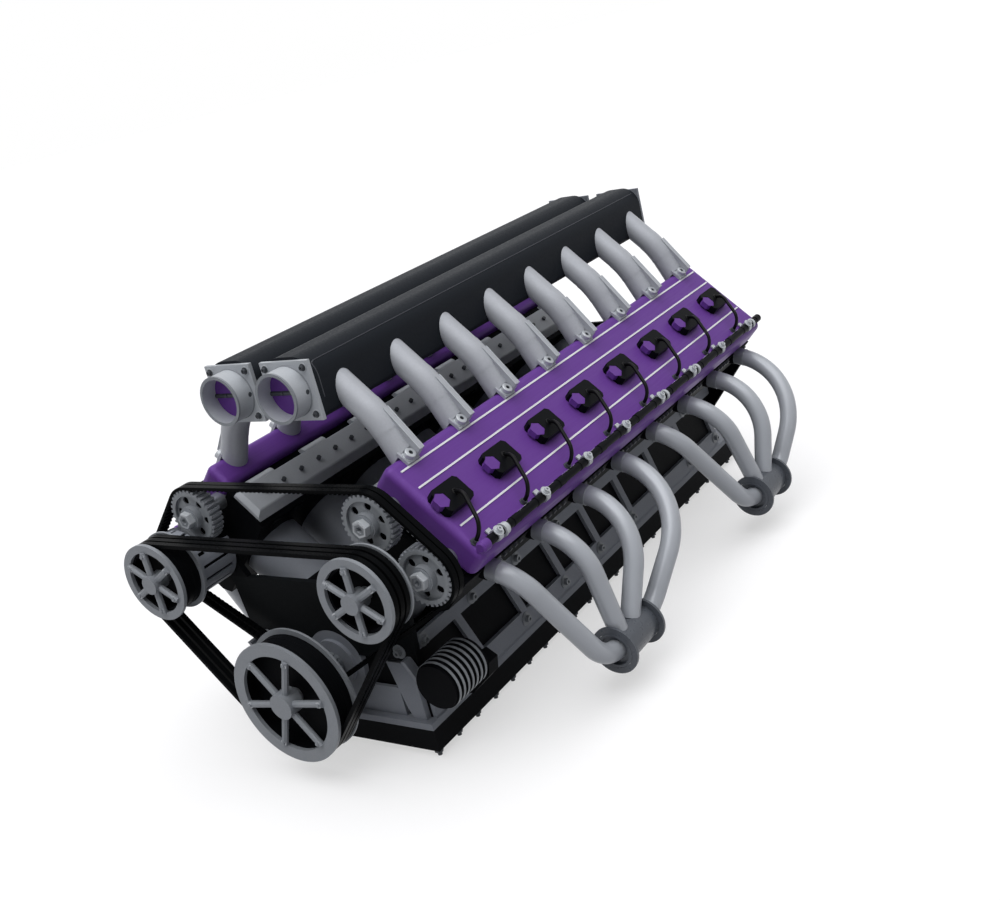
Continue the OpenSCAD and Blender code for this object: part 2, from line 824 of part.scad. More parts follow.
// Intake plenums
module plenum_outline(w, h, r_top, r_low) {
  for (x = [-1, 1]) {
    translate([x * (w / 2 - r_top), h / 2 - r_top]) circle(r = r_top);
    translate([x * (w / 2 - r_low), r_low - h / 2]) circle(r = r_low);
  }
  translate([-w / 2, r_low - h / 2]) square([w, h - r_top - r_low]);
  translate([r_top - w / 2, -h / 2]) square([w - 2 * r_top, h]);
  translate([r_low - w / 2, -h / 2]) square([w - 2 * r_low, h / 2]);
}

module plenum_bar(w, h, r_top, r_low, y0, y1) {
  translate([plenum_x, y1, plenum_z + 2]) rotate([90, 0, 0]) linear_extrude(y1 - y0)
    plenum_outline(w, h, r_top, r_low);
}

module plenum(side) {
  color("#191b1f") engine() mirrored(side) difference() {
    plenum_bar(plenum_w, plenum_h, 28, 8, plenum_y0, plenum_y1);
    plenum_bar(plenum_w - 2 * plenum_wall, plenum_h - 2 * plenum_wall, 24, 4,
               plenum_y0 + 5, plenum_y1 - 5);
    translate([plenum_x, 0, plenum_z])
      rod_y(throttle_d / 2 - throttle_wall, plenum_y0 - 1, plenum_y0 + 6);
    each_cylinder() runner_path(runner_d / 2 - runner_wall - 3, 24);
  }
}

module plenum_right() { plenum(1); }
module plenum_left() { plenum(-1); }

module end_plate(y0) {
  block([plenum_x - plate_w / 2, y0, plenum_z - plate_h / 2],
        [plenum_x + plate_w / 2, y0 + plate_t, plenum_z + plate_h / 2]);
}

module throttle_body(side) {
  color("#9ba0a6") engine() mirrored(side) difference() {
    union() {
      end_plate(plenum_y0 - plate_t);
      translate([plenum_x, 0, plenum_z])
        rod_y(throttle_d / 2, plenum_y0 - plate_t - throttle_l, plenum_y0 - plate_t + eps);
    }
    translate([plenum_x, 0, plenum_z])
      rod_y(throttle_d / 2 - throttle_wall, plenum_y0 - 2 * throttle_l, plenum_y0 + 1);
    translate([plenum_x - 50, disc_y, plenum_z]) rotate([0, 90, 0])
      cylinder(r = shaft_r + run_gap, h = 100);
  }
}

module throttle_body_right() { throttle_body(1); }
module throttle_body_left() { throttle_body(-1); }

module throttle_plate(side) {
  color("#6a3fa3") engine() mirrored(side) translate([plenum_x, 0, plenum_z])
    rod_y(disc_r, disc_y - disc_t / 2, disc_y + disc_t / 2);
}

module throttle_plate_right() { throttle_plate(1); }
module throttle_plate_left() { throttle_plate(-1); }

module throttle_shaft(side) {
  // The ends stop inside the tube's wall, so that a hose slides over it
  half = throttle_d / 2 - 0.5;
  color("#3a3d42") engine() mirrored(side) translate([plenum_x, disc_y, plenum_z]) {
    difference() {
      translate([-half, 0, 0]) rotate([0, 90, 0]) cylinder(r = shaft_r, h = 2 * half);
      block([-disc_r - 0.05, -disc_t / 2 - 0.02, -4], [disc_r + 0.05, disc_t / 2 + 0.02, 4]);
    }
    for (x = [-8, 8]) translate([x, -shaft_r + 0.4, 0]) rotate([90, 0, 0])
      cylinder(r = 2, h = 1.4, $fn = 6);
  }
}

module throttle_shaft_right() { throttle_shaft(1); }
module throttle_shaft_left() { throttle_shaft(-1); }

module plenum_rear_plates() {
  color("#8f949a") engine() for (side = sides) mirrored(side) difference() {
    union() {
      end_plate(plenum_y1);
      translate([plenum_x, 0, plenum_z]) rod_y(throttle_d / 2, plenum_y1, plenum_y1 + 12);
    }
    translate([plenum_x, 0, plenum_z]) rod_y(throttle_d / 2 - 5, plenum_y1 + 6, plenum_y1 + 13);
  }
}

// Runners: down out of the plenum side, a slow bend, then into the cover's inner side
runner_corner = [plenum_side, 0, runner_z]
  + runner_leg * [cos(runner_slope), 0, -sin(runner_slope)];

module elbow_pipe(a, p, b, bend_r, r, step = skin) {
  cut = tangent_cut(a, p, b, bend_r);
  rod_between(a, p + unit(a - p) * (cut - lap), r - step);
  bend(a, p, b, bend_r, r);
  rod_between(p + unit(b - p) * (cut - lap), b, r - step);
}

module runner_path(r, inside) {
  elbow_pipe(runner_corner
             - (runner_leg + inside) * [cos(runner_slope), 0, -sin(runner_slope)],
             runner_corner,
             runner_corner
             + runner_reach * [cos(runner_slope_end), 0, -sin(runner_slope_end)],
             runner_bend, r, runner_step);
}

module runner_gusset() {
  r = runner_d / 2;
  apex = runner_corner + (r - 1) * [sin(55), 0, cos(55)] - [2, 0, -3];
  u1 = lug_u + 5.5;
  translate([0, -1, 0]) prism_y([
    [apex[0] - 7, apex[2] - 4], [apex[0], apex[2]],
    [bank_to_x(u1, cover_top + 18), bank_to_z(u1, cover_top + 18)],
    [bank_to_x(u1, cover_top), bank_to_z(u1, cover_top)],
    [bank_to_x(cover_u0, cover_top), bank_to_z(cover_u0, cover_top)],
    [bank_to_x(cover_u0 - 14, cover_top - 6), bank_to_z(cover_u0 - 14, cover_top - 6)]
  ], 0, 8);
}

module runners(side) {
  color("#94999f") engine() each_cylinder() difference() {
    union() {
      difference() {
        mirrored(side) runner_path(runner_d / 2, 22);
        on_bank(side) block([cover_u0, -60, deck_n], [200, 60, cover_top + 100]);
      }
      mirrored(side) runner_gusset();
      on_bank(side) block([cover_u0 - 4, lug_y - 10, cover_top],
                          [lug_u + 8, lug_y + 12, cover_top + 4]);
    }
    mirrored(side) intersection() {
      runner_path(runner_d / 2 - runner_wall, 30);
      rotate([0, half_v, 0]) block([-400, -60, 0], [cover_u0 - 3, 60, 600]);
    }
    mirrored(side) plenum_bar(plenum_w + 2 * skin, plenum_h + 2 * skin, 28, 8, -60, 60);
  }
}

module runners_right() { runners(1); }
module runners_left() { runners(-1); }

// Exhaust: four pipes meet in each collector
function first_leg(k) = 38 + 24 * k;
function first_bend(k) = 50 + 18 * k;
function last_leg(k) = k == 0 || k == 3 ? 30 : 16;
function pipe_end(g, k) =
  k == 0 ? [collector_x, collector_y[g] + 8, collector_z]
  : k == 3 ? [collector_x, collector_y[g] + collector_l - 8, collector_z]
  : [collector_x, collector_y[g] + collector_l * joint_share[k - 1], collector_z];
function pipe_turn(g, k) = pipe_end(g, k)
  + (k == 0 ? [0, -1, 0] : k == 3 ? [0, 1, 0] : [0, 0, 1]) * last_leg(k);

module exhaust_path(g, k, r, over = 0) {
  start = [bank_to_x(port_u, port_n), cyl_y(4 * g + k), bank_to_z(port_u, port_n)];
  corner = start + [cos(exhaust_drop), 0, -sin(exhaust_drop)] * first_leg(k);
  turn = pipe_turn(g, k);
  finish = pipe_end(g, k);
  angle = acos(unit(corner - turn) * unit(finish - turn));
  bent_pipe([start, corner, turn, finish], first_bend(k),
            (last_leg(k) - 1) * tan(angle / 2), r, over);
}

module exhaust_pipes(side) {
  color("#8b8f93") engine() mirrored(side) for (g = [0, 1], k = [0 : 3]) difference() {
    exhaust_path(g, k, pipe_d / 2);
    exhaust_path(g, k, pipe_d / 2 - pipe_wall, 1);
    if (k == 1 || k == 2) translate([collector_x, 0, collector_z])
      rod_y(collector_d / 2 + gap, collector_y[g], collector_y[g] + collector_l);
  }
}

module exhaust_pipes_right() { exhaust_pipes(1); }
module exhaust_pipes_left() { exhaust_pipes(-1); }

module at_outlet(y) {
  translate([0, y, 0]) rotate([0, 180 + outlet_turn, 0]) children();
}

module collector(g) {
  outlet_end = collector_d / 2 + outlet_reach;
  y0 = collector_y[g];
  y1 = y0 + collector_l;
  difference() {
    union() {
      rod_y(collector_d / 2, y0, y1);
      at_outlet((y0 + y1) / 2) cylinder(r = outlet_r + collector_wall, h = outlet_end);
    }
    rod_y(collector_d / 2 - collector_wall, y0 + 8, y1 - 8);
    for (y = [y0 - 1, y1 - 5]) rod_y(collector_d / 2 - 4, y, y + 6);
    rod_y(pipe_d / 2 + gap, y0 - 1, y1 + 1);
    at_outlet((y0 + y1) / 2) cylinder(r = outlet_r, h = outlet_end + 1);
    for (share = joint_share) translate([0, y0 + collector_l * share, 0])
      cylinder(r = pipe_d / 2 - pipe_wall, h = collector_d);
  }
}

module exhaust_collectors() {
  color("#94989c") engine() for (side = sides, g = [0, 1])
    mirrored(side) translate([collector_x, 0, collector_z]) collector(g);
}

module exhaust_flanges() {
  color("#aaaeb2") engine() for (side = sides, g = [0, 1], y = [0, collector_l - ring_t])
    mirrored(side) difference() {
      translate([collector_x, collector_y[g] + y, collector_z]) difference() {
        rod_y(ring_d / 2, 0, ring_t);
        rod_y(collector_d / 2 + gap, -1, ring_t + 1);
      }
      // The sixth pipe leans over this ring, which is relieved for it
      if (g == 1 && y == 0) exhaust_path(g, 1, pipe_d / 2 + gap);
    }
}

// Camshafts with two lobes for every cylinder
module cam_lobe(angle) {
  rotate([0, angle, 0]) {
    rod_y(14.5, -6, 6);
    translate([0, 0, 12]) rod_y(7.5, -6, 6);
    prism_y([[-14, 2], [14, 2], [7, 14], [-7, 14]], -6, 6);
  }
}

module camshaft(side, bank_u, turn) {
  color("#7d8187") engine() on_bank(side) translate([bank_u, 0, cam_n]) {
    rod_y(12, gear_y0 + gear_w, last_y + 28);
    rod_y(8, gear_y0, gear_y0 + gear_w + eps);
    for (i = [0 : per_bank - 2]) rod_y(14, tower_y(i) - tower_t / 2, tower_y(i) + tower_t / 2);
    for (i = [0 : per_bank - 1], k = sides)
      translate([0, cyl_y(i) + 18 * k, 0]) cam_lobe(turn + phases[i] / 2);
  }
}

module camshaft_inlet_right() { camshaft(1, -cam_u, 20); }
module camshaft_exhaust_right() { camshaft(1, cam_u, 130); }
module camshaft_inlet_left() { camshaft(-1, -cam_u, 65); }
module camshaft_exhaust_left() { camshaft(-1, cam_u, 175); }

module cam_gear(side, bank_u) {
  color("#a9adb1") engine() on_bank(side) translate([bank_u, 0, cam_n]) difference() {
    union() {
      toothed_wheel(cam_gear_d / 2, gear_teeth, gear_y0, gear_y0 + gear_w);
      rod_y(15, gear_y0 - 4, gear_y0 + 8);
      translate([0, gear_y0 - 4, 0]) rotate([90, 0, 0]) cylinder(r = 11, h = 10, $fn = 6);
    }
    difference() {
      rod_y(cam_gear_d / 2 - 8, gear_y0 - 1, gear_y0 + 4);
      rod_y(15, gear_y0 - 2, gear_y0 + 5);
    }
    rod_y(8 + gap, gear_y0 - gap, gear_y0 + gear_w + 1);
    rod_y(4, gear_y0 - 15, gear_y0 - 9);
    for (k = [0 : 5]) rotate([0, 60 * k, 0]) translate([22, 0, 0])
      rod_y(5, gear_y0 - 1, gear_y0 + gear_w + 1);
  }
}

module cam_gear_inlet_right() { cam_gear(1, -cam_u); }
module cam_gear_exhaust_right() { cam_gear(1, cam_u); }
module cam_gear_inlet_left() { cam_gear(-1, -cam_u); }
module cam_gear_exhaust_left() { cam_gear(-1, cam_u); }

// A belt loop round wheels given as [x, z, radius], counted against the clock
function side_normal(a, b) =
  let (v = [b[0] - a[0], b[1] - a[1]], d = unit(v), c = (a[2] - b[2]) / norm(v))
  c * d + sqrt(1 - c * c) * [d[1], -d[0]];

module belt_loop(wheels, y0, y1, t) {
  count = len(wheels);
  for (i = [0 : count - 1]) {
    a = wheels[i];
    b = wheels[(i + 1) % count];
    before = wheels[(i + count - 1) % count];
    n = side_normal(a, b);
    n_in = side_normal(before, a);
    a0 = atan2(n_in[1], n_in[0]) - 1;
    a1 = atan2(n[1], n[0]) + 1;
    turn = a1 > a0 ? a1 - a0 : a1 - a0 + 360;
    pa = [a[0], a[1]];
    pb = [b[0], b[1]];
    prism_y([pa + n * a[2], pb + n * b[2], pb + n * (b[2] + t), pa + n * (a[2] + t)], y0, y1);
    translate([a[0], y1, a[1]]) rotate([90, 0, 0]) rotate([0, 0, a0])
      rotate_extrude(angle = turn) translate([a[2] + skin, skin])
        square([t - 2 * skin, y1 - y0 - 2 * skin]);
  }
}

module timing_belts() {
  r = cam_gear_d / 2 + gap;
  inner_x = bank_to_x(-cam_u, cam_n);
  inner_z = bank_to_z(-cam_u, cam_n);
  outer_x = bank_to_x(cam_u, cam_n);
  outer_z = bank_to_z(cam_u, cam_n);
  color("#0c0d0e") engine() for (y = [gear_y0, gear_y0 + gear_w / 2 + 1])
    belt_loop([[0, 0, sprocket_r + gap], [outer_x, outer_z, r], [inner_x, inner_z, r],
               [-inner_x, inner_z, r], [-outer_x, outer_z, r]], y, y + gear_w / 2 - 1, belt_t);
}

module accessory_belts() {
  low = crank_pulley_d / 2 - 6 + gap;
  high = upper_pulley_d / 2 - 6 + gap;
  color("#0a0b0c") engine() for (k = [0 : 2])
    belt_loop([[0, 0, low], [upper_x, upper_z, high], [-upper_x, upper_z, high]],
              pulley_y0 + ring_face + 1.5 + 10 * k, pulley_y0 + ring_face + 8.5 + 10 * k, 5);
}

// Alternator: its rear half is cut clear of the two gears beside it
module alternator() {
  inner_x = bank_to_x(-cam_u, cam_n);
  inner_z = bank_to_z(-cam_u, cam_n);
  outer_x = bank_to_x(cam_u, cam_n);
  outer_z = bank_to_z(cam_u, cam_n);
  color("#8e9398") engine() difference() {
    translate([-upper_x, 0, upper_z]) difference() {
      union() {
        rod_y(alternator_r, alternator_y0, front_plate_y);
        rod_y(18, alternator_y0 - 1, alternator_y0 + 1);
      }
      rod_y(axle_r + run_gap, alternator_y0 - 2, -111);
      for (k = [0 : 15]) rotate([0, 22.5 * k, 0])
        block([-2.2, alternator_y0 + 6, alternator_r - 5], [2.2, front_plate_y - 6, alternator_r + 1]);
    }
    for (p = [[-inner_x, inner_z], [-outer_x, outer_z]]) translate([p[0], 0, p[1]])
      rod_y(cam_gear_d / 2 + belt_t + 2, -108, front_plate_y + 1);
  }
}

// Brackets: the pump's post, arm and housing, the alternator's foot and the filter mount
module arm(length, y0, y1, w) {
  rotate([0, -atan2(upper_z - post_z, upper_x - post_x), 0])
    block([0, y0, -w / 2], [length, y1, w / 2]);
}

module accessory_brackets() {
  reach = norm([upper_x - post_x, upper_z - post_z]);
  color("#191a1d") engine() {
    difference() {
      union() {
        translate([post_x, 0, post_z]) {
          rod_y(13, -120, front_plate_y);
          arm(reach, -120, -112, 18);
        }
        translate([upper_x, 0, upper_z]) rod_y(22, -122, -109);
      }
      translate([upper_x, 0, upper_z]) rod_y(axle_r + run_gap, -123, -111);
    }
    prism_y([[-146, 112], [-116, 112], [-138, 150], [-152, 176], [-172, 184], [-188, 166],
             [-176, 150]], front_plate_y, block_front);
    prism_y([[case_x + truss_t, -62], [168, -54], [200, -26], [204, -8], [190, 2],
             [case_x + truss_t, -28]], -20, 0);
  }
}

module oil_filter() {
  color("#8b8f94") engine() translate([filter_x, 0, filter_z]) difference() {
    union() {
      rod_y(filter_r - 2, -88, -20);
      for (k = [0 : 6]) rod_y(filter_r, -84 + 9 * k, -79 + 9 * k);
    }
    rod_y(filter_r - 6, -86, -24);
  }
}

crankcase();
cylinder_barrels();
side_frames();
block_bolts();
main_bearing_caps();
pistons();
crankshaft();
crank_pulley();
crank_pulley_drum();
pan_rail();
oil_pan();
pan_bolts();
front_cover();
front_housing();
cylinder_head_right();
cylinder_head_left();
head_rails();
bank_bolts();
valve_cover_right();
valve_cover_left();
cover_stripes();
coil_caps();
coil_plugs();
ignition_leads();
harness_conduits();
harness_clips();
plenum_right();
plenum_left();
throttle_body_right();
throttle_body_left();
throttle_plate_right();
throttle_plate_left();
throttle_shaft_right();
throttle_shaft_left();
plenum_rear_plates();
runners_right();
runners_left();
exhaust_pipes_right();
exhaust_pipes_left();
exhaust_collectors();
exhaust_flanges();
camshaft_inlet_right();
camshaft_exhaust_right();
camshaft_inlet_left();
camshaft_exhaust_left();
cam_gear_inlet_right();
cam_gear_exhaust_right();
cam_gear_inlet_left();
cam_gear_exhaust_left();
timing_belts();
accessory_belts();
alternator();
alternator_pulley();
alternator_drum();
pump_pulley();
pump_drum();
accessory_brackets();
oil_filter();
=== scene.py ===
"""Looks of a sixteen-cylinder V engine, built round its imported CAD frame."""

import logging
import math
from dataclasses import dataclass, field
from enum import Enum

import bmesh
import bpy
from mathutils import Matrix, Vector


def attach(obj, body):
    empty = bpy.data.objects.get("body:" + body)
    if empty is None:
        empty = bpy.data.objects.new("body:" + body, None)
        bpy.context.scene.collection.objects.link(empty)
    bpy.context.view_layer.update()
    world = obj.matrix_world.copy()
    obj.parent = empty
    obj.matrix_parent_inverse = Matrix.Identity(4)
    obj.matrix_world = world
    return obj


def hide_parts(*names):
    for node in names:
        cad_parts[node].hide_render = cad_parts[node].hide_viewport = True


LOG = logging.getLogger("engine")
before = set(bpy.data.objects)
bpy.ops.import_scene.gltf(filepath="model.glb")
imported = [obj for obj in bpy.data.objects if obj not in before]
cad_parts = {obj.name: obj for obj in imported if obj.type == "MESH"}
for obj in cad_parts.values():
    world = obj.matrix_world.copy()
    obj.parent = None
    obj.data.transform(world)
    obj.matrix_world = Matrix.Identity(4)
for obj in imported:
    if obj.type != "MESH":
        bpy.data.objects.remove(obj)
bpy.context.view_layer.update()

# Sizes in millimetres, with y counted from cylinder 1 as in the part's source
MM = 0.001
REAR_SHIFT = -880.0
BORE_PITCH = 105.0
CYLINDERS = 8
LAST_Y = BORE_PITCH * (CYLINDERS - 1)
COVER_TOP = 290.0
COIL_HEIGHT = 12.0
COVER_Y0 = -44.0
COVER_Y1 = LAST_Y + 44.0
CAM_U = 44.2
CAM_N = 252.8
GEAR_Y0 = -93.0
GEAR_RADIUS = 37.0
PULLEY_Y0 = -165.0
UPPER_X = 168.0
UPPER_Z = 153.0
PLENUM_X = 47.5
PLENUM_Z = 357.0
PLENUM_Y0 = -45.0
PLENUM_Y1 = LAST_Y + 40.0
ROOT = "engine"
SIDES = (-1, 1)
SIDE_NAMES = {-1: "left", 1: "right"}


class Pattern(Enum):
    """How a surface was left by the process that made it."""

    PLAIN = "plain"
    CAST = "cast"
    BRUSHED = "brushed"
    WRINKLE = "wrinkle"


def to_linear(code: str) -> tuple[float, float, float, float]:
    """Turns an sRGB hex colour into the linear colour that a shader takes.

    Args:
        code: Six hex digits, such as "5b3290".

    Returns:
        Linear red, green and blue, with full alpha.
    """
    parts = [int(code[i : i + 2], 16) / 255 for i in (0, 2, 4)]
    linear = [c / 12.92 if c <= 0.04045 else ((c + 0.055) / 1.055) ** 2.4 for c in parts]
    return (linear[0], linear[1], linear[2], 1.0)


def add_node(
    tree: bpy.types.NodeTree,
    kind: str,
    settings: dict[str, object] | None = None,
    inputs: dict[str | int, object] | None = None,
) -> bpy.types.Node:
    """Adds one node with its settings, socket values and links.

    Args:
        tree: The material's node tree.
        kind: The node's type name.
        settings: Properties of the node itself.
        inputs: Socket values, or output sockets to link from.

    Returns:
        The new node.
    """
    node = tree.nodes.new(kind)
    for name, value in (settings or {}).items():
        setattr(node, name, value)
    for name, value in (inputs or {}).items():
        socket = node.inputs[name]
        if isinstance(value, bpy.types.NodeSocket):
            tree.links.new(value, socket)
        else:
            socket.default_value = value
    return node


@dataclass(frozen=True)
class Finish:
    """A real material and the process that made its surface.

    The pattern's size is the real one in millimetres, or as coarse as it has to be to show.
    """

    name: str
    colour: str
    metallic: float
    roughness: float
    specular: float = 0.5
    pattern: Pattern = Pattern.PLAIN
    grain_mm: float = 1.0
    relief_mm: float = 0.02
    shade: str = ""
    axis: int = 1

    def grain(self, tree: bpy.types.NodeTree) -> bpy.types.NodeSocket:
        """Builds the height or wear pattern of the surface.

        Args:
            tree: The material's node tree.

        Returns:
            The socket that carries the pattern from 0 to 1.
        """
        place = add_node(tree, "ShaderNodeTexCoord").outputs["Object"]
        stretch = [1.0, 1.0, 1.0]
        if self.pattern is Pattern.BRUSHED:
            stretch[self.axis] = 0.04
        scaled = add_node(
            tree,
            "ShaderNodeMapping",
            inputs={"Vector": place, "Scale": Vector(stretch)},
        ).outputs["Vector"]
        detail = 5.0 if self.pattern is Pattern.WRINKLE else 2.0
        noise = add_node(
            tree,
            "ShaderNodeTexNoise",
            inputs={"Vector": scaled, "Scale": 1 / (self.grain_mm * MM), "Detail": detail},
        )
        return noise.outputs["Fac"]

    def build(self) -> bpy.types.Material:
        """Makes the material, or finds it if it was made before."""
        found = bpy.data.materials.get(self.name)
        if found:
            return found
        material = bpy.data.materials.new(self.name)
        material.use_nodes = True
        tree = material.node_tree
        shader = tree.nodes["Principled BSDF"]
        shader.inputs["Base Color"].default_value = to_linear(self.colour)
        shader.inputs["Metallic"].default_value = self.metallic
        shader.inputs["Roughness"].default_value = self.roughness
        shader.inputs["Specular IOR Level"].default_value = self.specular
        if self.pattern is Pattern.PLAIN:
            return material
        grain = self.grain(tree)
        rough = add_node(
            tree,
            "ShaderNodeMapRange",
            inputs={
                "Value": grain,
                "From Min": 0.3,
                "From Max": 0.7,
                "To Min": max(self.roughness - 0.08, 0.05),
                "To Max": min(self.roughness + 0.08, 1.0),
            },
        )
        tree.links.new(rough.outputs["Result"], shader.inputs["Roughness"])
        if self.shade:
            mixed = add_node(tree, "ShaderNodeMix", {"data_type": "RGBA"}, {0: grain})
            mixed.inputs[6].default_value = to_linear(self.colour)
            mixed.inputs[7].default_value = to_linear(self.shade)
            tree.links.new(mixed.outputs[2], shader.inputs["Base Color"])
        bump = add_node(
            tree,
            "ShaderNodeBump",
            inputs={"Height": grain, "Strength": 0.5, "Distance": self.relief_mm * MM},
        )
        tree.links.new(bump.outputs["Normal"], shader.inputs["Normal"])
        return material


# Anodised aluminium: even purple with the soft metal sheen of a dyed oxide layer
PURPLE_ANODISED = Finish(
    "Anodised_aluminium_purple", "623b8c", 0.08, 0.45, 0.15, Pattern.BRUSHED, 2.5, 0.01, "5f3786"
)
# Enamel on aluminium: the thin white pinstripes
WHITE_ENAMEL = Finish("Enamel_white", "dcdce2", 0.0, 0.4)
# Cast aluminium, bead blasted: light grey with a fine matt grain
BLASTED_ALUMINIUM = Finish(
    "Cast_aluminium_blasted", "868a92", 0.05, 0.5, 0.15, Pattern.CAST, 1.6, 0.05, "7d818a"
)
# Milled aluminium: rails and throttle bodies, coloured lighter than the castings; on the rails
# in the valley this is partly painted light, standing in for light that the plenums' shade keeps
# from them
MILLED_ALUMINIUM_PAINTED_LIGHT = Finish(
    "Aluminium_milled_painted_light", "b2b6bc", 0.08, 0.42, 0.25, Pattern.CAST, 2.0, 0.02, "a9adb3"
)
# Bent aluminium tube, brushed: the runners' smoother, brighter grey
TUBE_ALUMINIUM = Finish(
    "Aluminium_tube_brushed", "adb0b7", 0.08, 0.4, 0.25, Pattern.CAST, 3.0, 0.02, "a4a7ae"
)
# Turned aluminium: pulleys with a clean machined face
TURNED_ALUMINIUM = Finish(
    "Aluminium_turned", "888c92", 0.08, 0.4, 0.2, Pattern.CAST, 2.0, 0.02, "80848a"
)
# Sintered steel: gear faces, a darker even grey
SINTERED_STEEL = Finish(
    "Steel_sintered", "8b8f94", 0.08, 0.5, 0.2, Pattern.CAST, 1.2, 0.04, "82868b"
)
# Stainless tube, satin: the exhaust pipes, bright along the crest
SATIN_STAINLESS = Finish("Stainless_tube_satin", "a6aab1", 0.08, 0.3, 0.35)
# Stainless collectors and rings, coloured much darker than the pipes: painted shade for the dark
# surroundings that their shiny steel reflects
DARKENED_STAINLESS = Finish(
    "Stainless_painted_dark", "54585f", 0.1, 0.32, 0.3, Pattern.CAST, 6.0, 0.03, "4c5057"
)
# Stainless beside the port: the stubs, a shade darker than the pipes
STUB_STAINLESS = Finish(
    "Stainless_port_stub", "93979d", 0.12, 0.36, 0.3, Pattern.CAST, 6.0, 0.03, "8b8f95"
)
# Zinc plated steel: small bright screws and clips
ZINC_STEEL = Finish("Steel_zinc_plated", "b4b8bd", 0.25, 0.36)
# Zinc plated steel, dulled: the truss bolts and the filter's pressed rings
DULL_ZINC = Finish("Steel_zinc_dulled", "7f8388", 0.15, 0.42, 0.3)
# Ground steel: journals, lobes and sprockets
GROUND_STEEL = Finish("Steel_ground", "8d9197", 0.6, 0.32)
# Black oxide steel: dark screws with a dull shine
BLACK_STEEL = Finish("Steel_black_oxide", "43464b", 0.3, 0.45, 0.3)
# Cast iron, machined: bearing caps and crank webs
CAST_IRON = Finish(
    "Cast_iron_machined", "5d6066", 0.4, 0.55, 0.4, Pattern.CAST, 1.2, 0.08, "505358"
)
# Powder coated casting: near-black with a low shine
BLACK_COAT = Finish(
    "Powder_coat_black", "0d0e11", 0.0, 0.5, 0.02, Pattern.WRINKLE, 2.2, 0.03, "0a0b0d"
)
# Powder coated sheet: the plenums' smoother black with a faint blue sheen
PLENUM_COAT = Finish(
    "Powder_coat_blue_black", "212429", 0.0, 0.5, 0.04, Pattern.WRINKLE, 3.0, 0.02, "1f2227"
)
# Painted plate: the black front cover
BLACK_PAINT = Finish(
    "Paint_black_satin", "17191b", 0.0, 0.45, 0.02, Pattern.WRINKLE, 3.0, 0.02, "141618"
)
# The same coat on a raised seam, coloured a little lighter as a painted highlight
SEAM_HIGHLIGHT_COAT = Finish("Powder_coat_seam_highlight", "3a3d44", 0.1, 0.4, 0.3)
# Moulded nylon: coil caps and conduit
MOULDED_NYLON = Finish("Nylon_moulded_black", "0b0c0f", 0.0, 0.4, 0.04)
# Rubber with a fabric back: the belts
BELT_RUBBER = Finish(
    "Rubber_belt", "08090b", 0.0, 0.28, 0.012, Pattern.CAST, 1.0, 0.03, "0c0d0e"
)
# Painted highlight: light grey teeth on the run between the right gears, standing in for glints
# on the belt's teeth
TOOTH_HIGHLIGHT = Finish("Painted_tooth_highlight", "84878b", 0.0, 0.6, 0.2)
# Silicone sleeve: ignition leads
LEAD_SILICONE = Finish("Silicone_lead_black", "0c0c0e", 0.0, 0.3, 0.08)
# Painted shade: a near-black finish for strips and discs put on slot floors and behind through
# holes, where only shade falls
PAINTED_SHADE_BLACK = Finish("Painted_shade_recess", "060708", 0.0, 0.8, 0.0)

NODE_FINISHES: dict[Finish, tuple[str, ...]] = {
    PURPLE_ANODISED: (
        "valve_cover_right",
        "valve_cover_left",
        "coil_plugs",
        "throttle_plate_right",
        "throttle_plate_left",
    ),
    WHITE_ENAMEL: ("cover_stripes",),
    BLASTED_ALUMINIUM: (
        "cylinder_barrels",
        "pistons",
        "side_frames",
        "pan_rail",
        "front_housing",
        "plenum_rear_plates",
        "alternator",
    ),
    # Partly painted light: the rails are coloured lighter to stand in for light in the shaded
    # valley
    MILLED_ALUMINIUM_PAINTED_LIGHT: ("head_rails", "throttle_body_right", "throttle_body_left"),
    TUBE_ALUMINIUM: ("runners_right", "runners_left"),
    TURNED_ALUMINIUM: (
        "crank_pulley",
        "alternator_pulley",
        "pump_pulley",
        "cam_gear_inlet_right",
        "cam_gear_exhaust_right",
        "cam_gear_inlet_left",
        "cam_gear_exhaust_left",
    ),
    SATIN_STAINLESS: ("exhaust_pipes_right", "exhaust_pipes_left"),
    # Painted shade: collectors and flanges are coloured dark for the reflections of shiny steel
    DARKENED_STAINLESS: ("exhaust_collectors", "exhaust_flanges"),
    ZINC_STEEL: ("harness_clips",),
    DULL_ZINC: ("block_bolts",),
    GROUND_STEEL: (
        "crankshaft",
        "camshaft_inlet_right",
        "camshaft_exhaust_right",
        "camshaft_inlet_left",
        "camshaft_exhaust_left",
    ),
    BLACK_STEEL: ("pan_bolts", "bank_bolts", "throttle_shaft_right", "throttle_shaft_left"),
    CAST_IRON: ("main_bearing_caps",),
    BLACK_COAT: (
        "crankcase",
        "cylinder_head_right",
        "cylinder_head_left",
        "oil_pan",
        "accessory_brackets",
        "crank_pulley_drum",
        "alternator_drum",
        "pump_drum",
        "oil_filter",
    ),
    PLENUM_COAT: ("plenum_right", "plenum_left"),
    BLACK_PAINT: ("front_cover",),
    MOULDED_NYLON: ("coil_caps", "harness_conduits"),
    BELT_RUBBER: ("timing_belts", "accessory_belts"),
    LEAD_SILICONE: ("ignition_leads",),
}

# Broken edges in millimetres, which catch the light as the real ones do
NODE_BEVELS: dict[float, tuple[str, ...]] = {
    1.6: ("coil_caps", "front_cover", "oil_pan"),
    1.5: ("timing_belts", "accessory_belts"),
    1.2: ("harness_conduits",),
    0.6: (
        "crank_pulley",
        "alternator_pulley",
        "pump_pulley",
        "crank_pulley_drum",
        "throttle_body_right",
        "throttle_body_left",
        "side_frames",
        "head_rails",
        "coil_plugs",
    ),
}


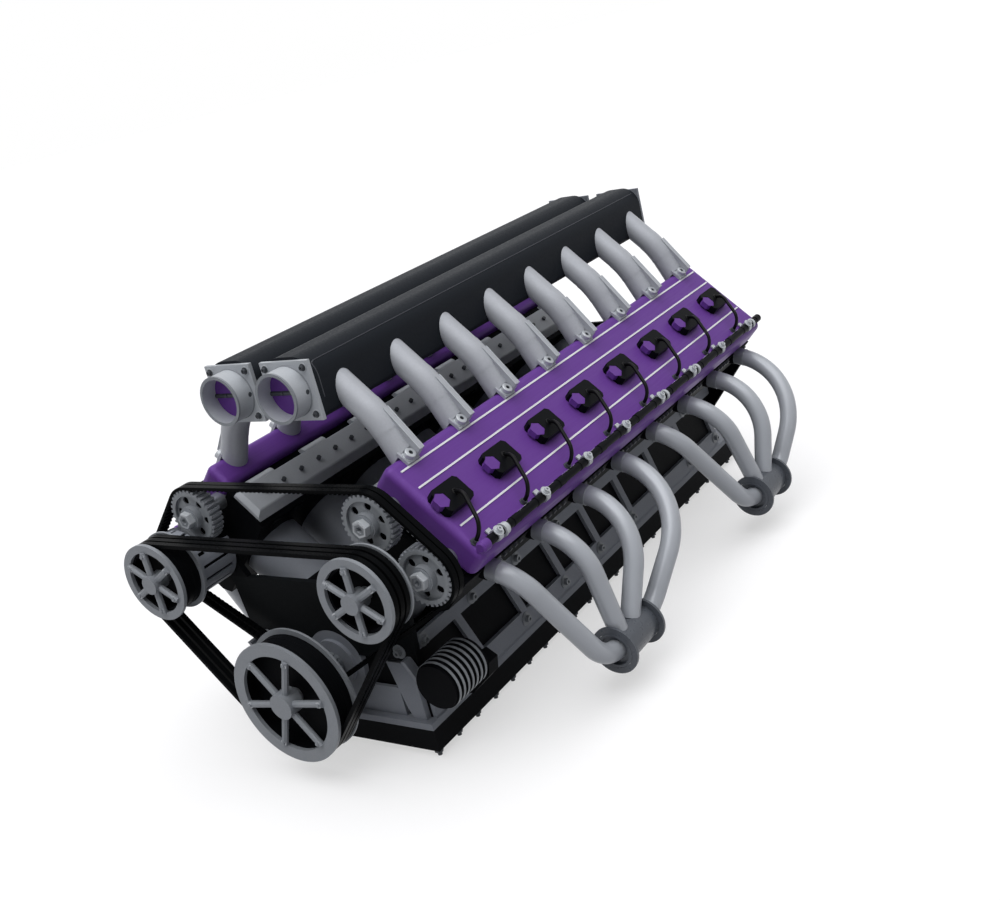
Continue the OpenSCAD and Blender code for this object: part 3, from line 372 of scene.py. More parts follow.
def bank_matrix(side: int) -> Matrix:
    """Gives the frame of a bank: X is u across the bank, Y along the crank, Z is n outwards.

    Args:
        side: 1 for the right bank, -1 for the left bank, which is a mirror image.

    Returns:
        The matrix from bank coordinates in millimetres to the frame in metres.
    """
    h = math.sqrt(0.5)
    turn = Matrix(((h, 0, h, 0), (0, 1, 0, REAR_SHIFT), (-h, 0, h, 0), (0, 0, 0, 1)))
    flip = Matrix.Diagonal((side, 1, 1, 1))
    return Matrix.Scale(MM, 4) @ flip @ turn


def side_matrix(side: int = 1) -> Matrix:
    """Gives the frame of one side of the engine, in millimetres with y from cylinder 1.

    Args:
        side: 1 for the right side, -1 for its mirror image.

    Returns:
        The matrix from those millimetres to the frame in metres.
    """
    shift = Matrix.Translation(Vector((0, REAR_SHIFT, 0)))
    return Matrix.Scale(MM, 4) @ Matrix.Diagonal((side, 1, 1, 1)) @ shift


def cylinder_y(index: int) -> float:
    """Gives the station of a cylinder along the crank, in millimetres."""
    return index * BORE_PITCH


@dataclass
class MeshPiece:
    """A mesh under construction, made of simple closed solids."""

    name: str
    finish: Finish
    slot: str
    body: str = ROOT
    bm: bmesh.types.BMesh = field(default_factory=bmesh.new)

    def block(
        self,
        low: tuple[float, float, float],
        high: tuple[float, float, float],
        matrix: Matrix,
    ) -> None:
        """Adds a box between two corners given in the matrix's own units."""
        size = Vector(high) - Vector(low)
        middle = Matrix.Translation((Vector(low) + Vector(high)) / 2)
        bmesh.ops.create_cube(
            self.bm, size=1.0, matrix=matrix @ middle @ Matrix.Diagonal((*size, 1))
        )

    def rod(
        self,
        start: tuple[float, float, float],
        end: tuple[float, float, float],
        radius: float,
        matrix: Matrix,
        sides: int = 24,
        end_radius: float | None = None,
    ) -> None:
        """Adds a cylinder or cone between two points.

        Args:
            start: Centre of the first end.
            end: Centre of the second end.
            radius: Radius at the start.
            matrix: From the piece's own units to the frame.
            sides: Number of flat sides, 6 for a hexagon.
            end_radius: Radius at the end, if it differs.
        """
        line = Vector(end) - Vector(start)
        turn = Vector((0, 0, 1)).rotation_difference(line).to_matrix().to_4x4()
        middle = Matrix.Translation((Vector(start) + Vector(end)) / 2) @ turn
        bmesh.ops.create_cone(
            self.bm,
            cap_ends=True,
            segments=sides,
            radius1=radius,
            radius2=radius if end_radius is None else end_radius,
            depth=line.length,
            matrix=matrix @ middle,
        )

    def loop(self, rows: list[list[Vector]], matrix: Matrix, closed: bool = True) -> None:
        """Skins a chain of equal outlines.

        Args:
            rows: Outlines with the same number of points.
            matrix: From the piece's own units to the frame.
            closed: Whether the last outline joins the first, as in a ring.
        """
        made = [[self.bm.verts.new(matrix @ spot) for spot in row] for row in rows]
        sides = len(made[0])
        count = len(made) if closed else len(made) - 1
        for i in range(count):
            here, there = made[i], made[(i + 1) % len(made)]
            for j in range(sides):
                k = (j + 1) % sides
                self.bm.faces.new((here[j], there[j], there[k], here[k]))
        if not closed:
            self.bm.faces.new(made[0])
            self.bm.faces.new(list(reversed(made[-1])))

    def ring(
        self,
        centre: tuple[float, float, float],
        axis: tuple[float, float, float],
        profile: list[tuple[float, float]],
        matrix: Matrix,
        steps: int = 48,
    ) -> None:
        """Adds a turned ring.

        Args:
            centre: Centre of the ring.
            axis: Direction of its axis.
            profile: Points of its section, as radius and distance along the axis.
            matrix: From the piece's own units to the frame.
            steps: Sections round the ring.
        """
        turn = Vector((0, 0, 1)).rotation_difference(Vector(axis)).to_matrix()
        rows = []
        for i in range(steps):
            a = 2 * math.pi * i / steps
            spoke = Vector((math.cos(a), math.sin(a), 0))
            row = [turn @ (spoke * r + Vector((0, 0, t))) for r, t in profile]
            rows.append([Vector(centre) + spot for spot in row])
        self.loop(rows, matrix)

    def bead(
        self,
        centre: tuple[float, float, float],
        axis: tuple[float, float, float],
        radius: float,
        thickness: float,
        matrix: Matrix,
    ) -> None:
        """Adds a round bead, such as a weld or a rolled lip.

        Args:
            centre: Centre of the ring.
            axis: Direction of its axis.
            radius: Radius of its centre line.
            thickness: Radius of its section.
            matrix: From the piece's own units to the frame.
        """
        angles = [2 * math.pi * j / 8 for j in range(8)]
        section = [
            (radius + thickness * math.cos(b), thickness * math.sin(b)) for b in angles
        ]
        self.ring(centre, axis, section, matrix)

    def washer(
        self,
        centre: tuple[float, float, float],
        axis: tuple[float, float, float],
        inner: float,
        outer: float,
        thickness: float,
        matrix: Matrix,
    ) -> None:
        """Adds a flat ring that starts at the centre and rises along the axis."""
        section = [(inner, 0), (outer, 0), (outer, thickness), (inner, thickness)]
        self.ring(centre, axis, section, matrix, 32)

    def wire(self, points: list[Vector], radius: float, matrix: Matrix, closed: bool) -> None:
        """Adds a thin round wire along points in the matrix's own units."""
        rows = []
        for i, spot in enumerate(points):
            if closed:
                line = points[(i + 1) % len(points)] - points[i - 1]
            else:
                line = points[min(i + 1, len(points) - 1)] - points[max(i - 1, 0)]
            side = line.cross(Vector((0.3, 1, 0.2))).normalized()
            up = line.cross(side).normalized()
            angles = [math.pi * j / 3 for j in range(6)]
            rows.append(
                [spot + (side * math.cos(a) + up * math.sin(a)) * radius for a in angles]
            )
        self.loop(rows, matrix, closed)

    def finish_piece(self, smooth: bool = True) -> bpy.types.Object:
        """Turns the mesh into an object that rides on its body.

        Args:
            smooth: Whether curved faces are shaded smooth.

        Returns:
            The new object.
        """
        bmesh.ops.recalc_face_normals(self.bm, faces=self.bm.faces)
        mesh = bpy.data.meshes.new(self.name)
        self.bm.to_mesh(mesh)
        self.bm.free()
        mesh.materials.append(self.finish.build())
        if smooth:
            mesh.shade_smooth()
            mesh.set_sharp_from_angle(angle=math.radians(35))
        item = bpy.data.objects.new(self.name, mesh)
        bpy.context.scene.collection.objects.link(item)
        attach(item, self.body)
        LOG.info("piece %s: %d faces", self.name, len(mesh.polygons))
        return item


@dataclass(frozen=True)
class CoverTrim:
    """What sits round a valve cover: head studs, short bolts and the conduit's end boss."""

    edge_u: float = 79.0
    sunk: float = 1.0
    stud_n: float = 240.0
    stud_radius: float = 3.2
    stud_height: float = 3.5
    stud_offsets: tuple[float, ...] = (34.0, 46.0, 58.0, 70.0)
    last_margin: float = 8.0
    bolt_n: float = 237.0
    bolt_offset: float = 23.0
    bolt_collar_radius: float = 5.2
    bolt_head_radius: float = 3.6
    bolt_head_height: float = 5.0
    boss_u: float = 68.5
    boss_n: float = 295.5
    boss_radius: float = 7.4
    boss_front: float = COVER_Y0 + 3
    boss_length: float = 11.0
    boss_nose: float = 2.4
    boss_nose_step: float = 2.6
    boss_depth: float = 12.0

    def build(self, side: int) -> None:
        """Builds the trim of one cover.

        Args:
            side: 1 for the right bank, -1 for the left one.
        """
        bank = bank_matrix(side)
        name = SIDE_NAMES[side]
        studs = MeshPiece(f"head_studs_{name}", BLACK_STEEL, f"cylinder_head_{name}")
        bolts = MeshPiece(f"head_bolts_{name}", DULL_ZINC, "block_bolts")
        for i in range(CYLINDERS):
            for offset in self.stud_offsets:
                y = cylinder_y(i) + offset
                if y > COVER_Y1 - self.last_margin:
                    continue
                foot = (self.edge_u - self.sunk, y, self.stud_n)
                tip = (self.edge_u + self.stud_height, y, self.stud_n)
                studs.rod(foot, tip, self.stud_radius, bank, 6)
            y = cylinder_y(i) + self.bolt_offset
            foot = (self.edge_u - self.sunk, y, self.bolt_n)
            collar = (self.edge_u + 1, y, self.bolt_n)
            head = (self.edge_u + self.bolt_head_height, y, self.bolt_n)
            bolts.rod(foot, collar, self.bolt_collar_radius, bank)
            bolts.rod(foot, head, self.bolt_head_radius, bank, 6)
        studs.finish_piece(smooth=False)
        bolts.finish_piece()
        boss = MeshPiece(f"conduit_boss_{name}", PURPLE_ANODISED, f"valve_cover_{name}")
        front, u, n, r = self.boss_front, self.boss_u, self.boss_n, self.boss_radius
        boss.rod((u, front, n), (u, front + self.boss_length, n), r, bank)
        nose = (u, front - self.boss_nose, n)
        boss.rod(nose, (u, front, n), r - self.boss_nose_step, bank, end_radius=r)
        boss.rod((u, front + 5, n - self.boss_depth), (u, front + 5, n), r - 1, bank)
        boss.finish_piece()


@dataclass(frozen=True)
class Ignition:
    """The leads from each coil cap to the conduit, with their tips and grommets.

    A lead's route is the four points of the part's source, with its two corners rounded.
    """

    route: tuple[tuple[float, float, float], ...] = (
        (0.0, -8.0, 299.0),
        (4.0, -10.0, 314.0),
        (56.5, -35.0, 313.0),
        (57.5, -36.0, 292.0),
    )
    bends: tuple[float, float] = (18.0, 19.0)
    arc_steps: int = 10
    diameter: float = 5.2
    tip_radius: float = 3.7
    tip_height: float = 4.5
    tip_flange: float = 2.0
    grommet_radius: float = 3.4
    grommet_thickness: float = 1.2

    def points(self, index: int) -> list[Vector]:
        """Works out the centre line of one lead.

        Args:
            index: The cylinder's number from the front, from 0.

        Returns:
            Points in bank coordinates.
        """
        shift = Vector((0, cylinder_y(index), 0))
        q = [Vector(spot) + shift for spot in self.route]
        line = [q[0]]
        for corner, radius in zip((1, 2), self.bends):
            to_last = (q[corner - 1] - q[corner]).normalized()
            to_next = (q[corner + 1] - q[corner]).normalized()
            half = to_last.angle(to_next) / 2
            middle = (to_last + to_next).normalized()
            centre = q[corner] + middle * radius / math.sin(half)
            start = q[corner] + to_last * radius / math.tan(half) - centre
            end = q[corner] + to_next * radius / math.tan(half) - centre
            for k in range(self.arc_steps + 1):
                spoke = start.normalized().slerp(end.normalized(), k / self.arc_steps)
                line.append(centre + spoke * radius)
        line.append(q[3])
        return line

    def lead(self, side: int, index: int) -> None:
        """Builds one lead as a free cord.

        Args:
            side: 1 for the right bank, -1 for the left one.
            index: The cylinder's number from the front, from 0.
        """
        bank = bank_matrix(side)
        line = [bank @ spot for spot in self.points(index)]
        name = f"ignition_lead_{SIDE_NAMES[side]}_{index + 1}"
        curve = bpy.data.curves.new(name, "CURVE")
        curve.dimensions = "3D"
        curve.bevel_depth = self.diameter / 2 * MM
        curve.bevel_resolution = 4
        curve.use_fill_caps = True
        spline = curve.splines.new("POLY")
        spline.points.add(len(line) - 1)
        for point, spot in zip(spline.points, line):
            point.co = (*spot, 1)
        spline.use_smooth = True
        curve.materials.append(LEAD_SILICONE.build())
        item = bpy.data.objects.new(name, curve)
        bpy.context.scene.collection.objects.link(item)
        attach(item, ROOT)
        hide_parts("ignition_leads")

    def build(self, side: int) -> None:
        """Builds the leads, tips and grommets of one bank."""
        bank = bank_matrix(side)
        name = SIDE_NAMES[side]
        tips = MeshPiece(f"lead_tips_{name}", BLACK_STEEL, "harness_clips")
        grommets = MeshPiece(f"lead_grommets_{name}", LEAD_SILICONE, "ignition_leads")
        root, tip = Vector(self.route[0]), Vector(self.route[3])
        for i in range(CYLINDERS):
            self.lead(side, i)
            y = cylinder_y(i)
            foot = (tip.x, tip.y + y, COVER_TOP - 0.5)
            top = (tip.x, tip.y + y, COVER_TOP + self.tip_height)
            flange = (tip.x, tip.y + y, COVER_TOP + 1)
            tips.rod(foot, top, self.tip_radius, bank)
            tips.rod(foot, flange, self.tip_radius + self.tip_flange, bank, 6)
            spot = (root.x, root.y + y, COVER_TOP + COIL_HEIGHT)
            grommets.bead(spot, (0, 0, 1), self.grommet_radius, self.grommet_thickness, bank)
        tips.finish_piece()
        grommets.finish_piece()


@dataclass(frozen=True)
class Harness:
    """Washers under the clip screws and the large band beside the first clip."""

    conduit_u: float = 68.5
    conduit_n: float = 296.3
    clip_y: float = -10.0
    clip_height: float = 6.6
    washer_radius: float = 6.8
    band_y: float = 0.5
    band_radius: float = 8.6
    band_width: float = 2.4

    def build(self, side: int) -> None:
        """Builds the washers and band of one bank."""
        bank = bank_matrix(side)
        piece = MeshPiece(f"clip_washers_{SIDE_NAMES[side]}", ZINC_STEEL, "harness_clips")
        for i in range(CYLINDERS):
            y = cylinder_y(i) + self.clip_y
            top = (self.conduit_u - 1, y, self.conduit_n + self.clip_height)
            piece.washer(top, (0, 0, 1), 3, self.washer_radius, 1.0, bank)
        centre = (self.conduit_u, self.band_y, self.conduit_n)
        piece.washer(centre, (0, 1, 0), 5.6, self.band_radius, self.band_width, bank)
        piece.finish_piece()


@dataclass(frozen=True)
class IntakeTrim:
    """Seams, washers and lips of the plenums and throttles, and the edges of the gussets; the
    seams and the gusset edge wires are coloured light as painted highlights.
    """

    width: float = 77.0
    round_radius: float = 28.0
    top_z: float = PLENUM_Z + 40.0
    seam_angle: float = 42.0
    seam_drop: float = 24.0
    seam_front: float = PLENUM_Y0 + 7
    seam_rear: float = PLENUM_Y1 - 8
    seam_radius: float = 0.7
    tube_radius: float = 31.0
    tube_wall: float = 3.5
    tube_front: float = -76.0
    plate_front: float = -50.0
    bolt_x: float = 30.5
    bolt_z: float = 28.5
    gusset: tuple[tuple[float, float], ...] = ((134.9, 314.8), (172.7, 263.2))
    gusset_y: tuple[float, float] = (-1.0, 7.0)
    lug_u: float = -69.5
    lug_y: float = -8.0

    def seam_spot(self, angle: float, y: float) -> Vector:
        """Gives a point on the plenum's outer upper round.

        Args:
            angle: Angle above the horizontal, in degrees.
            y: Station along the crank, in millimetres.

        Returns:
            The point, in millimetres.
        """
        a = math.radians(angle)
        x = PLENUM_X + self.width / 2 - self.round_radius * (1 - math.cos(a))
        z = self.top_z - self.round_radius * (1 - math.sin(a))
        return Vector((x, y, z))

    def seam(self, side: int) -> None:
        """Builds the raised seam up the front corner and along the outer side, coloured lighter
        as a painted highlight.
        """
        front, high = self.seam_front, self.seam_angle
        line = [self.seam_spot(0, front) - Vector((0, 0, self.seam_drop))]
        line += [self.seam_spot(a, front) for a in (0.1, 12, 24, 34)]
        line += [self.seam_spot(high - 3, front + 1.5), self.seam_spot(high, front + 6)]
        line += [self.seam_spot(high, self.seam_rear)]
        piece = MeshPiece(
            f"plenum_seam_{SIDE_NAMES[side]}", SEAM_HIGHLIGHT_COAT, f"plenum_{SIDE_NAMES[side]}"
        )
        piece.wire(line, self.seam_radius, side_matrix(side), closed=False)
        piece.finish_piece()

    def build(self, side: int) -> None:
        """Builds the intake trim of one side."""
        self.seam(side)
        frame = side_matrix(side)
        name = SIDE_NAMES[side]
        lips = MeshPiece(f"throttle_lip_{name}", TURNED_ALUMINIUM, f"throttle_body_{name}")
        mouth = (PLENUM_X, self.tube_front, PLENUM_Z)
        inner = self.tube_radius - self.tube_wall + 0.1
        lip = [(inner, -0.3), (self.tube_radius + 0.4, -0.3), (self.tube_radius + 0.4, 2.2)]
        lips.ring(mouth, (0, 1, 0), lip + [(inner, 2.2)], frame)
        foot = (PLENUM_X, self.plate_front - 0.3, PLENUM_Z)
        lips.bead(foot, (0, 1, 0), self.tube_radius, 1.1, frame)
        lips.finish_piece()
        washers = MeshPiece(f"plate_washers_{name}", ZINC_STEEL, "bank_bolts")
        for x in (-1, 1):
            for z in (-1, 1):
                bolt_x, bolt_z = PLENUM_X + x * self.bolt_x, PLENUM_Z + z * self.bolt_z
                spot = (bolt_x, self.plate_front, bolt_z)
                washers.washer(spot, (0, -1, 0), 2.6, 5.4, 0.8, frame)
        washers.finish_piece()
        bank = bank_matrix(side)
        lugs = MeshPiece(f"lug_screws_{name}", ZINC_STEEL, "bank_bolts")
        for i in range(CYLINDERS):
            foot = (self.lug_u, cylinder_y(i) + self.lug_y, COVER_TOP + 4)
            lugs.washer(foot, (0, 0, 1), 4.2, 8.6, 1.0, bank)
            head = [(2.9, 0.0), (7.1, 0.0), (7.1, 6.9), (6.3, 7.6), (2.9, 7.6)]
            lugs.ring(foot, (0, 0, 1), head, bank, 32)
        lugs.finish_piece()
        # Painted highlight: bright steel wires along the gussets' edges stand in for the light
        # caught by their chamfers
        edges = MeshPiece(f"gusset_edge_highlights_{name}", ZINC_STEEL, f"runners_{name}")
        for i in range(CYLINDERS):
            for y in self.gusset_y:
                line = [Vector((x, cylinder_y(i) + y, z)) for x, z in self.gusset]
                edges.wire(line, 0.55, frame, closed=False)
        edges.finish_piece()


@dataclass(frozen=True)
class ExhaustTrim:
    """The darker stub at each port and the weld bead where it ends."""

    port: tuple[float, float] = (226.98, 111.02)
    drop: float = 15.0
    pipe_radius: float = 13.0
    stub_length: float = 15.0

    def build(self, side: int) -> None:
        """Builds stubs and welds of one side."""
        frame = side_matrix(side)
        name = SIDE_NAMES[side]
        drop = math.radians(self.drop)
        line = Vector((math.cos(drop), 0, -math.sin(drop)))
        stubs = MeshPiece(f"port_stubs_{name}", STUB_STAINLESS, f"exhaust_pipes_{name}")
        for i in range(CYLINDERS):
            start = Vector((self.port[0], cylinder_y(i), self.port[1]))
            end = start + line * self.stub_length
            stubs.rod(start + line, end, self.pipe_radius + 0.3, frame, 40)
            stubs.bead(end, line, self.pipe_radius + 0.1, 0.7, frame)
        stubs.finish_piece()


@dataclass(frozen=True)
class Pulley:
    """The trim of one pulley: washers on the spokes and the ridges between the belts."""

    name: str
    drum: str
    body: str
    centre: tuple[float, float]
    radius: float
    turn: float
    spokes: int = 6
    ridge_offsets: tuple[float, ...] = (6.2, 15.0, 25.0, 34.0)
    ridge_depth: float = 6.1
    ridge_thickness: float = 0.9

    def build(self) -> None:
        """Builds the trim, which turns with the pulley."""
        frame = side_matrix()
        x, z = self.centre
        washers = MeshPiece(f"{self.name}_washers", ZINC_STEEL, self.name, self.body)
        reach = self.radius * 0.8 - 4
        for k in range(self.spokes):
            a = math.radians(k * 360 / self.spokes + self.turn)
            spot = (x + reach * math.sin(a), PULLEY_Y0 - 2, z + reach * math.cos(a))
            washers.washer(spot, (0, -1, 0), 2.2, 4.0, 0.9, frame)
        washers.finish_piece()
        ridges = MeshPiece(f"{self.drum}_ridges", BLACK_COAT, self.drum, self.body)
        for offset in self.ridge_offsets:
            spot = (x, PULLEY_Y0 + offset, z)
            radius = self.radius - self.ridge_depth
            ridges.bead(spot, (0, 1, 0), radius, self.ridge_thickness, frame)
        ridges.finish_piece()


@dataclass(frozen=True)
class CamGear:
    """The trim of one cam gear: a darker drilled web with painted shade behind its holes, a
    bright hub and its nut.
    """

    body: str
    side: int
    u: float
    web_inner: float = 15.4
    web_outer: float = 28.9
    hole_circle: float = 22.0
    hole_radius: float = 5.1
    holes: int = 6
    web_ys: tuple[float, float] = (3.6, 4.2)
    shade_radius: float = 4.95
    shade_ys: tuple[float, float] = (5.5, 6.5)
    rim: tuple[tuple[float, float], ...] = ((29.0, -0.3), (33.4, -0.3), (33.4, 0.6), (29.0, 0.6))
    collar: tuple[tuple[float, float], ...] = (
        (10.8, -4.8),
        (15.3, -4.8),
        (15.3, 3.8),
        (10.8, 3.8),
    )
    petals: tuple[tuple[float, float], ...] = (
        (10.0, -5.8),
        (13.4, -5.8),
        (13.4, -4.6),
        (10.0, -4.6),
    )
    nut: tuple[tuple[float, float], ...] = (
        (4.2, -13.6),
        (10.2, -14.3),
        (11.3, -13.4),
        (11.3, -5.0),
        (4.2, -5.0),
    )

    def polar(self, radius: float, angle: float, y: float) -> Vector:
        """Gives a point round the gear's axis, in bank coordinates.

        Args:
            radius: Distance from the axis.
            angle: Angle round the axis, in radians.
            y: Distance behind the gear's front face.

        Returns:
            The point, in millimetres.
        """
        u = self.u + radius * math.cos(angle)
        n = CAM_N + radius * math.sin(angle)
        return Vector((u, GEAR_Y0 + y, n))

    def web_sector(self, piece: MeshPiece, index: int) -> None:
        """Adds a sixth of the web, a plate with one round hole.

        Args:
            piece: The mesh that takes the sector.
            index: The sector's number.
        """
        bank = bank_matrix(self.side)
        half = math.pi / self.holes
        middle = 2 * half * index
        steps = 8
        arcs = []
        for radius, turn in ((self.web_outer, 1), (self.web_inner, -1)):
            for k in range(steps + 1):
                a = middle + turn * half * (2 * k / steps - 1)
                arcs.append((radius * math.cos(a), radius * math.sin(a)))
        centre = (self.hole_circle * math.cos(middle), self.hole_circle * math.sin(middle))
        outline, hole = [], []
        for x, z in arcs:
            a = math.atan2(z - centre[1], x - centre[0])
            outline.append((x, z))
            hole.append(
                (
                    centre[0] + self.hole_radius * math.cos(a),
                    centre[1] + self.hole_radius * math.sin(a),
                )
            )
        rows = []
        front, rear = self.web_ys
        for ring, y in ((outline, front), (hole, front), (hole, rear), (outline, rear)):
            rows.append([Vector((self.u + x, GEAR_Y0 + y, CAM_N + z)) for x, z in ring])
        piece.loop(rows, bank)

    def build(self) -> None:
        """Builds the trim, which turns with the camshaft."""
        bank = bank_matrix(self.side)
        slot = self.body.replace("cam_", "cam_gear_", 1)
        web = MeshPiece(f"{slot}_web", SINTERED_STEEL, slot, self.body)
        for k in range(self.holes):
            self.web_sector(web, k)
        centre = (self.u, GEAR_Y0, CAM_N)
        web.ring(centre, (0, 1, 0), list(self.rim), bank)
        web.finish_piece(smooth=False)
        # Painted shade: near-black discs just behind the web's holes, where shade falls
        shades = MeshPiece(f"{slot}_holes", PAINTED_SHADE_BLACK, slot, self.body)
        for k in range(self.holes):
            a = 2 * math.pi * k / self.holes
            front, rear = (self.polar(self.hole_circle, a, y) for y in self.shade_ys)
            shades.rod(tuple(front), tuple(rear), self.shade_radius, bank)
        shades.finish_piece()
        hub = MeshPiece(f"{slot}_hub", TURNED_ALUMINIUM, slot, self.body)
        hub.ring(centre, (0, 1, 0), list(self.collar), bank)
        hub.ring(centre, (0, 1, 0), list(self.petals), bank, 12)
        hub.finish_piece()
        nut = MeshPiece(f"{slot}_nut", ZINC_STEEL, slot, self.body)
        corners = [math.pi * k / 3 for k in range(6)]
        nut.loop([[self.polar(r, a, y) for a in corners] for r, y in self.nut], bank)
        nut.finish_piece(smooth=False)


@dataclass(frozen=True)
class TimingTeeth:
    """Teeth on the inner side of the two timing belts, along their straight runs; one run's
    teeth are light grey as a painted highlight.
    """

    pitch: float = 7.26
    depth: float = 1.4
    length: float = 3.2
    belt_ys: tuple[float, float] = (GEAR_Y0 + 0.6, GEAR_Y0 + 10.6)
    belt_width: float = 6.8
    highlight_run: int = 1

    def wheels(self) -> list[tuple[float, float, float]]:
        """Gives the wheels that the belts run round, as x, z and the belt's inner radius."""
        h = math.sqrt(0.5)
        outer = ((CAM_N + CAM_U) * h, (CAM_N - CAM_U) * h)
        inner = ((CAM_N - CAM_U) * h, (CAM_N + CAM_U) * h)
        r = GEAR_RADIUS + 0.3
        return [
            (0.0, 0.0, GEAR_RADIUS / 2 + 0.3),
            (*outer, r),
            (*inner, r),
            (-inner[0], inner[1], r),
            (-outer[0], outer[1], r),
        ]

    def build(self) -> None:
        """Builds the teeth, which are static as the belts are."""
        frame = side_matrix()
        dark = MeshPiece("timing_belt_teeth", BELT_RUBBER, "timing_belts")
        highlight_teeth = MeshPiece("timing_belt_teeth_highlight", TOOTH_HIGHLIGHT, "timing_belts")
        wheels = self.wheels()
        for i, (ax, az, ar) in enumerate(wheels):
            # Painted highlight: the teeth of one run take the light grey finish
            piece = highlight_teeth if i == self.highlight_run else dark
            bx, bz, br = wheels[(i + 1) % len(wheels)]
            span = Vector((bx - ax, 0, bz - az))
            along = span.normalized()
            tilt = (ar - br) / span.length
            across = Vector((along.z, 0, -along.x)) * math.sqrt(1 - tilt * tilt)
            normal = along * tilt + across
            start = Vector((ax, 0, az)) + normal * ar
            run = Vector((bx, 0, bz)) + normal * br - start
            direction = run.normalized()
            for k in range(1, int(run.length / self.pitch)):
                foot = start + direction * (k * self.pitch)
                for y in self.belt_ys:
                    turn = Matrix(
                        (
                            (direction.x, 0, normal.x, foot.x),
                            (0, 1, 0, y),
                            (direction.z, 0, normal.z, foot.z),
                            (0, 0, 0, 1),
                        )
                    )
                    piece.block(
                        (-self.length / 2, 0, -self.depth),
                        (self.length / 2, self.belt_width, 0.2),
                        frame @ turn,
                    )
        dark.finish_piece(smooth=False)
        highlight_teeth.finish_piece(smooth=False)


@dataclass(frozen=True)
class Accessories:
    """The light rings of the oil filter and painted shade on the floors of the alternator's
    slots.
    """

    filter_x: float = 175.0
    filter_z: float = -3.0
    filter_radius: float = 30.5
    filter_y0: float = -84.0
    ring_pitch: float = 9.0
    ring_ys: tuple[float, float] = (0.4, 4.0)
    filter_rings: int = 7
    alternator_radius: float = 45.0
    alternator_y0: float = -125.0
    slots: int = 16
    slot_end: float = -68.0
    relief_start: float = -108.6
    relief_radius: float = 46.0

    def slot_reach(self, angle: float) -> float:
        """Works out where a slot ends, which is early where the body makes room for a cam gear.

        Args:
            angle: The slot's angle round the alternator, in radians.

        Returns:
            Its rear end along the crank, in millimetres.
        """
        x = -UPPER_X + self.alternator_radius * math.sin(angle)
        z = UPPER_Z + self.alternator_radius * math.cos(angle)
        for u in (-CAM_U, CAM_U):
            gear_x, gear_z = -(CAM_N + u) * math.sqrt(0.5), (CAM_N - u) * math.sqrt(0.5)
            if math.hypot(x - gear_x, z - gear_z) < self.relief_radius:
                return self.relief_start
        return self.slot_end

    def build(self) -> None:
        """Builds the rings, and the painted shade on the slot floors."""
        frame = side_matrix()
        rings = MeshPiece("oil_filter_rings", DULL_ZINC, "oil_filter")
        for k in range(self.filter_rings):
            spot = (self.filter_x, self.filter_y0 + self.ring_pitch * k, self.filter_z)
            low, high = self.filter_radius - 1, self.filter_radius + 0.6
            front, rear = self.ring_ys
            section = [(low, front), (high, front), (high, rear), (low, rear)]
            rings.ring(spot, (0, 1, 0), section, frame)
        rings.finish_piece()
        # Painted shade: near-black strips on the slot floors, where shade falls
        shades = MeshPiece("alternator_slot_shade", PAINTED_SHADE_BLACK, "alternator")
        centre = Matrix.Translation(Vector((-UPPER_X, 0, UPPER_Z)))
        for k in range(self.slots):
            angle = 2 * math.pi * k / self.slots
            low = (-2.1, self.alternator_y0 + 6.2, self.alternator_radius - 5.1)
            high = (2.1, self.slot_reach(angle), self.alternator_radius - 2.0)
            shades.block(low, high, frame @ centre @ Matrix.Rotation(angle, 4, "Y"))
        shades.finish_piece(smooth=False)


@dataclass(frozen=True)
class BlockTrim:
    """Washers under the truss and front plate bolts."""

    face_x: float = 134.0
    low_z: float = -54.0
    low_offset: float = 52.0
    top_z: float = 33.0
    top_offset: float = -44.0
    front_spot: tuple[float, float, float] = (112.0, -66.0, 26.0)
    inner: float = 4.6
    outer: float = 9.4
    thickness: float = 1.2

    def build(self) -> None:
        """Builds the washers of both sides."""
        piece = MeshPiece("block_washers", DULL_ZINC, "block_bolts")
        sizes = (self.inner, self.outer, self.thickness)
        for side in SIDES:
            frame = side_matrix(side)
            for i in range(CYLINDERS):
                y = cylinder_y(i)
                low = (self.face_x, y + self.low_offset, self.low_z)
                top = (self.face_x, y + self.top_offset, self.top_z)
                for spot in (low, top):
                    piece.washer(spot, (1, 0, 0), *sizes, frame)
            piece.washer(self.front_spot, (0, -1, 0), *sizes, frame)
        piece.finish_piece()


@dataclass(frozen=True)
class Camera:
    """The photograph's camera, solved from the repeated cylinders."""

    spot: tuple[float, float, float] = (1.06346, -1.87334, 0.68715)
    right: tuple[float, float, float] = (0.8114, 0.5360, -0.2332)
    up: tuple[float, float, float] = (0.0025, 0.3958, 0.9183)
    back: tuple[float, float, float] = (0.5845, -0.7457, 0.3198)
    lens_mm: float = 43.66

    def build(self) -> None:
        """Makes the scene's camera."""
        data = bpy.data.cameras.new("Camera")
        data.sensor_width = 36.0
        data.sensor_fit = "HORIZONTAL"
        data.lens = self.lens_mm
        data.clip_end = 200
        item = bpy.data.objects.new("Camera", data)
        bpy.context.scene.collection.objects.link(item)
        columns = Matrix((self.right, self.up, self.back)).transposed().to_4x4()
        item.matrix_world = Matrix.Translation(Vector(self.spot)) @ columns
        bpy.context.scene.camera = item


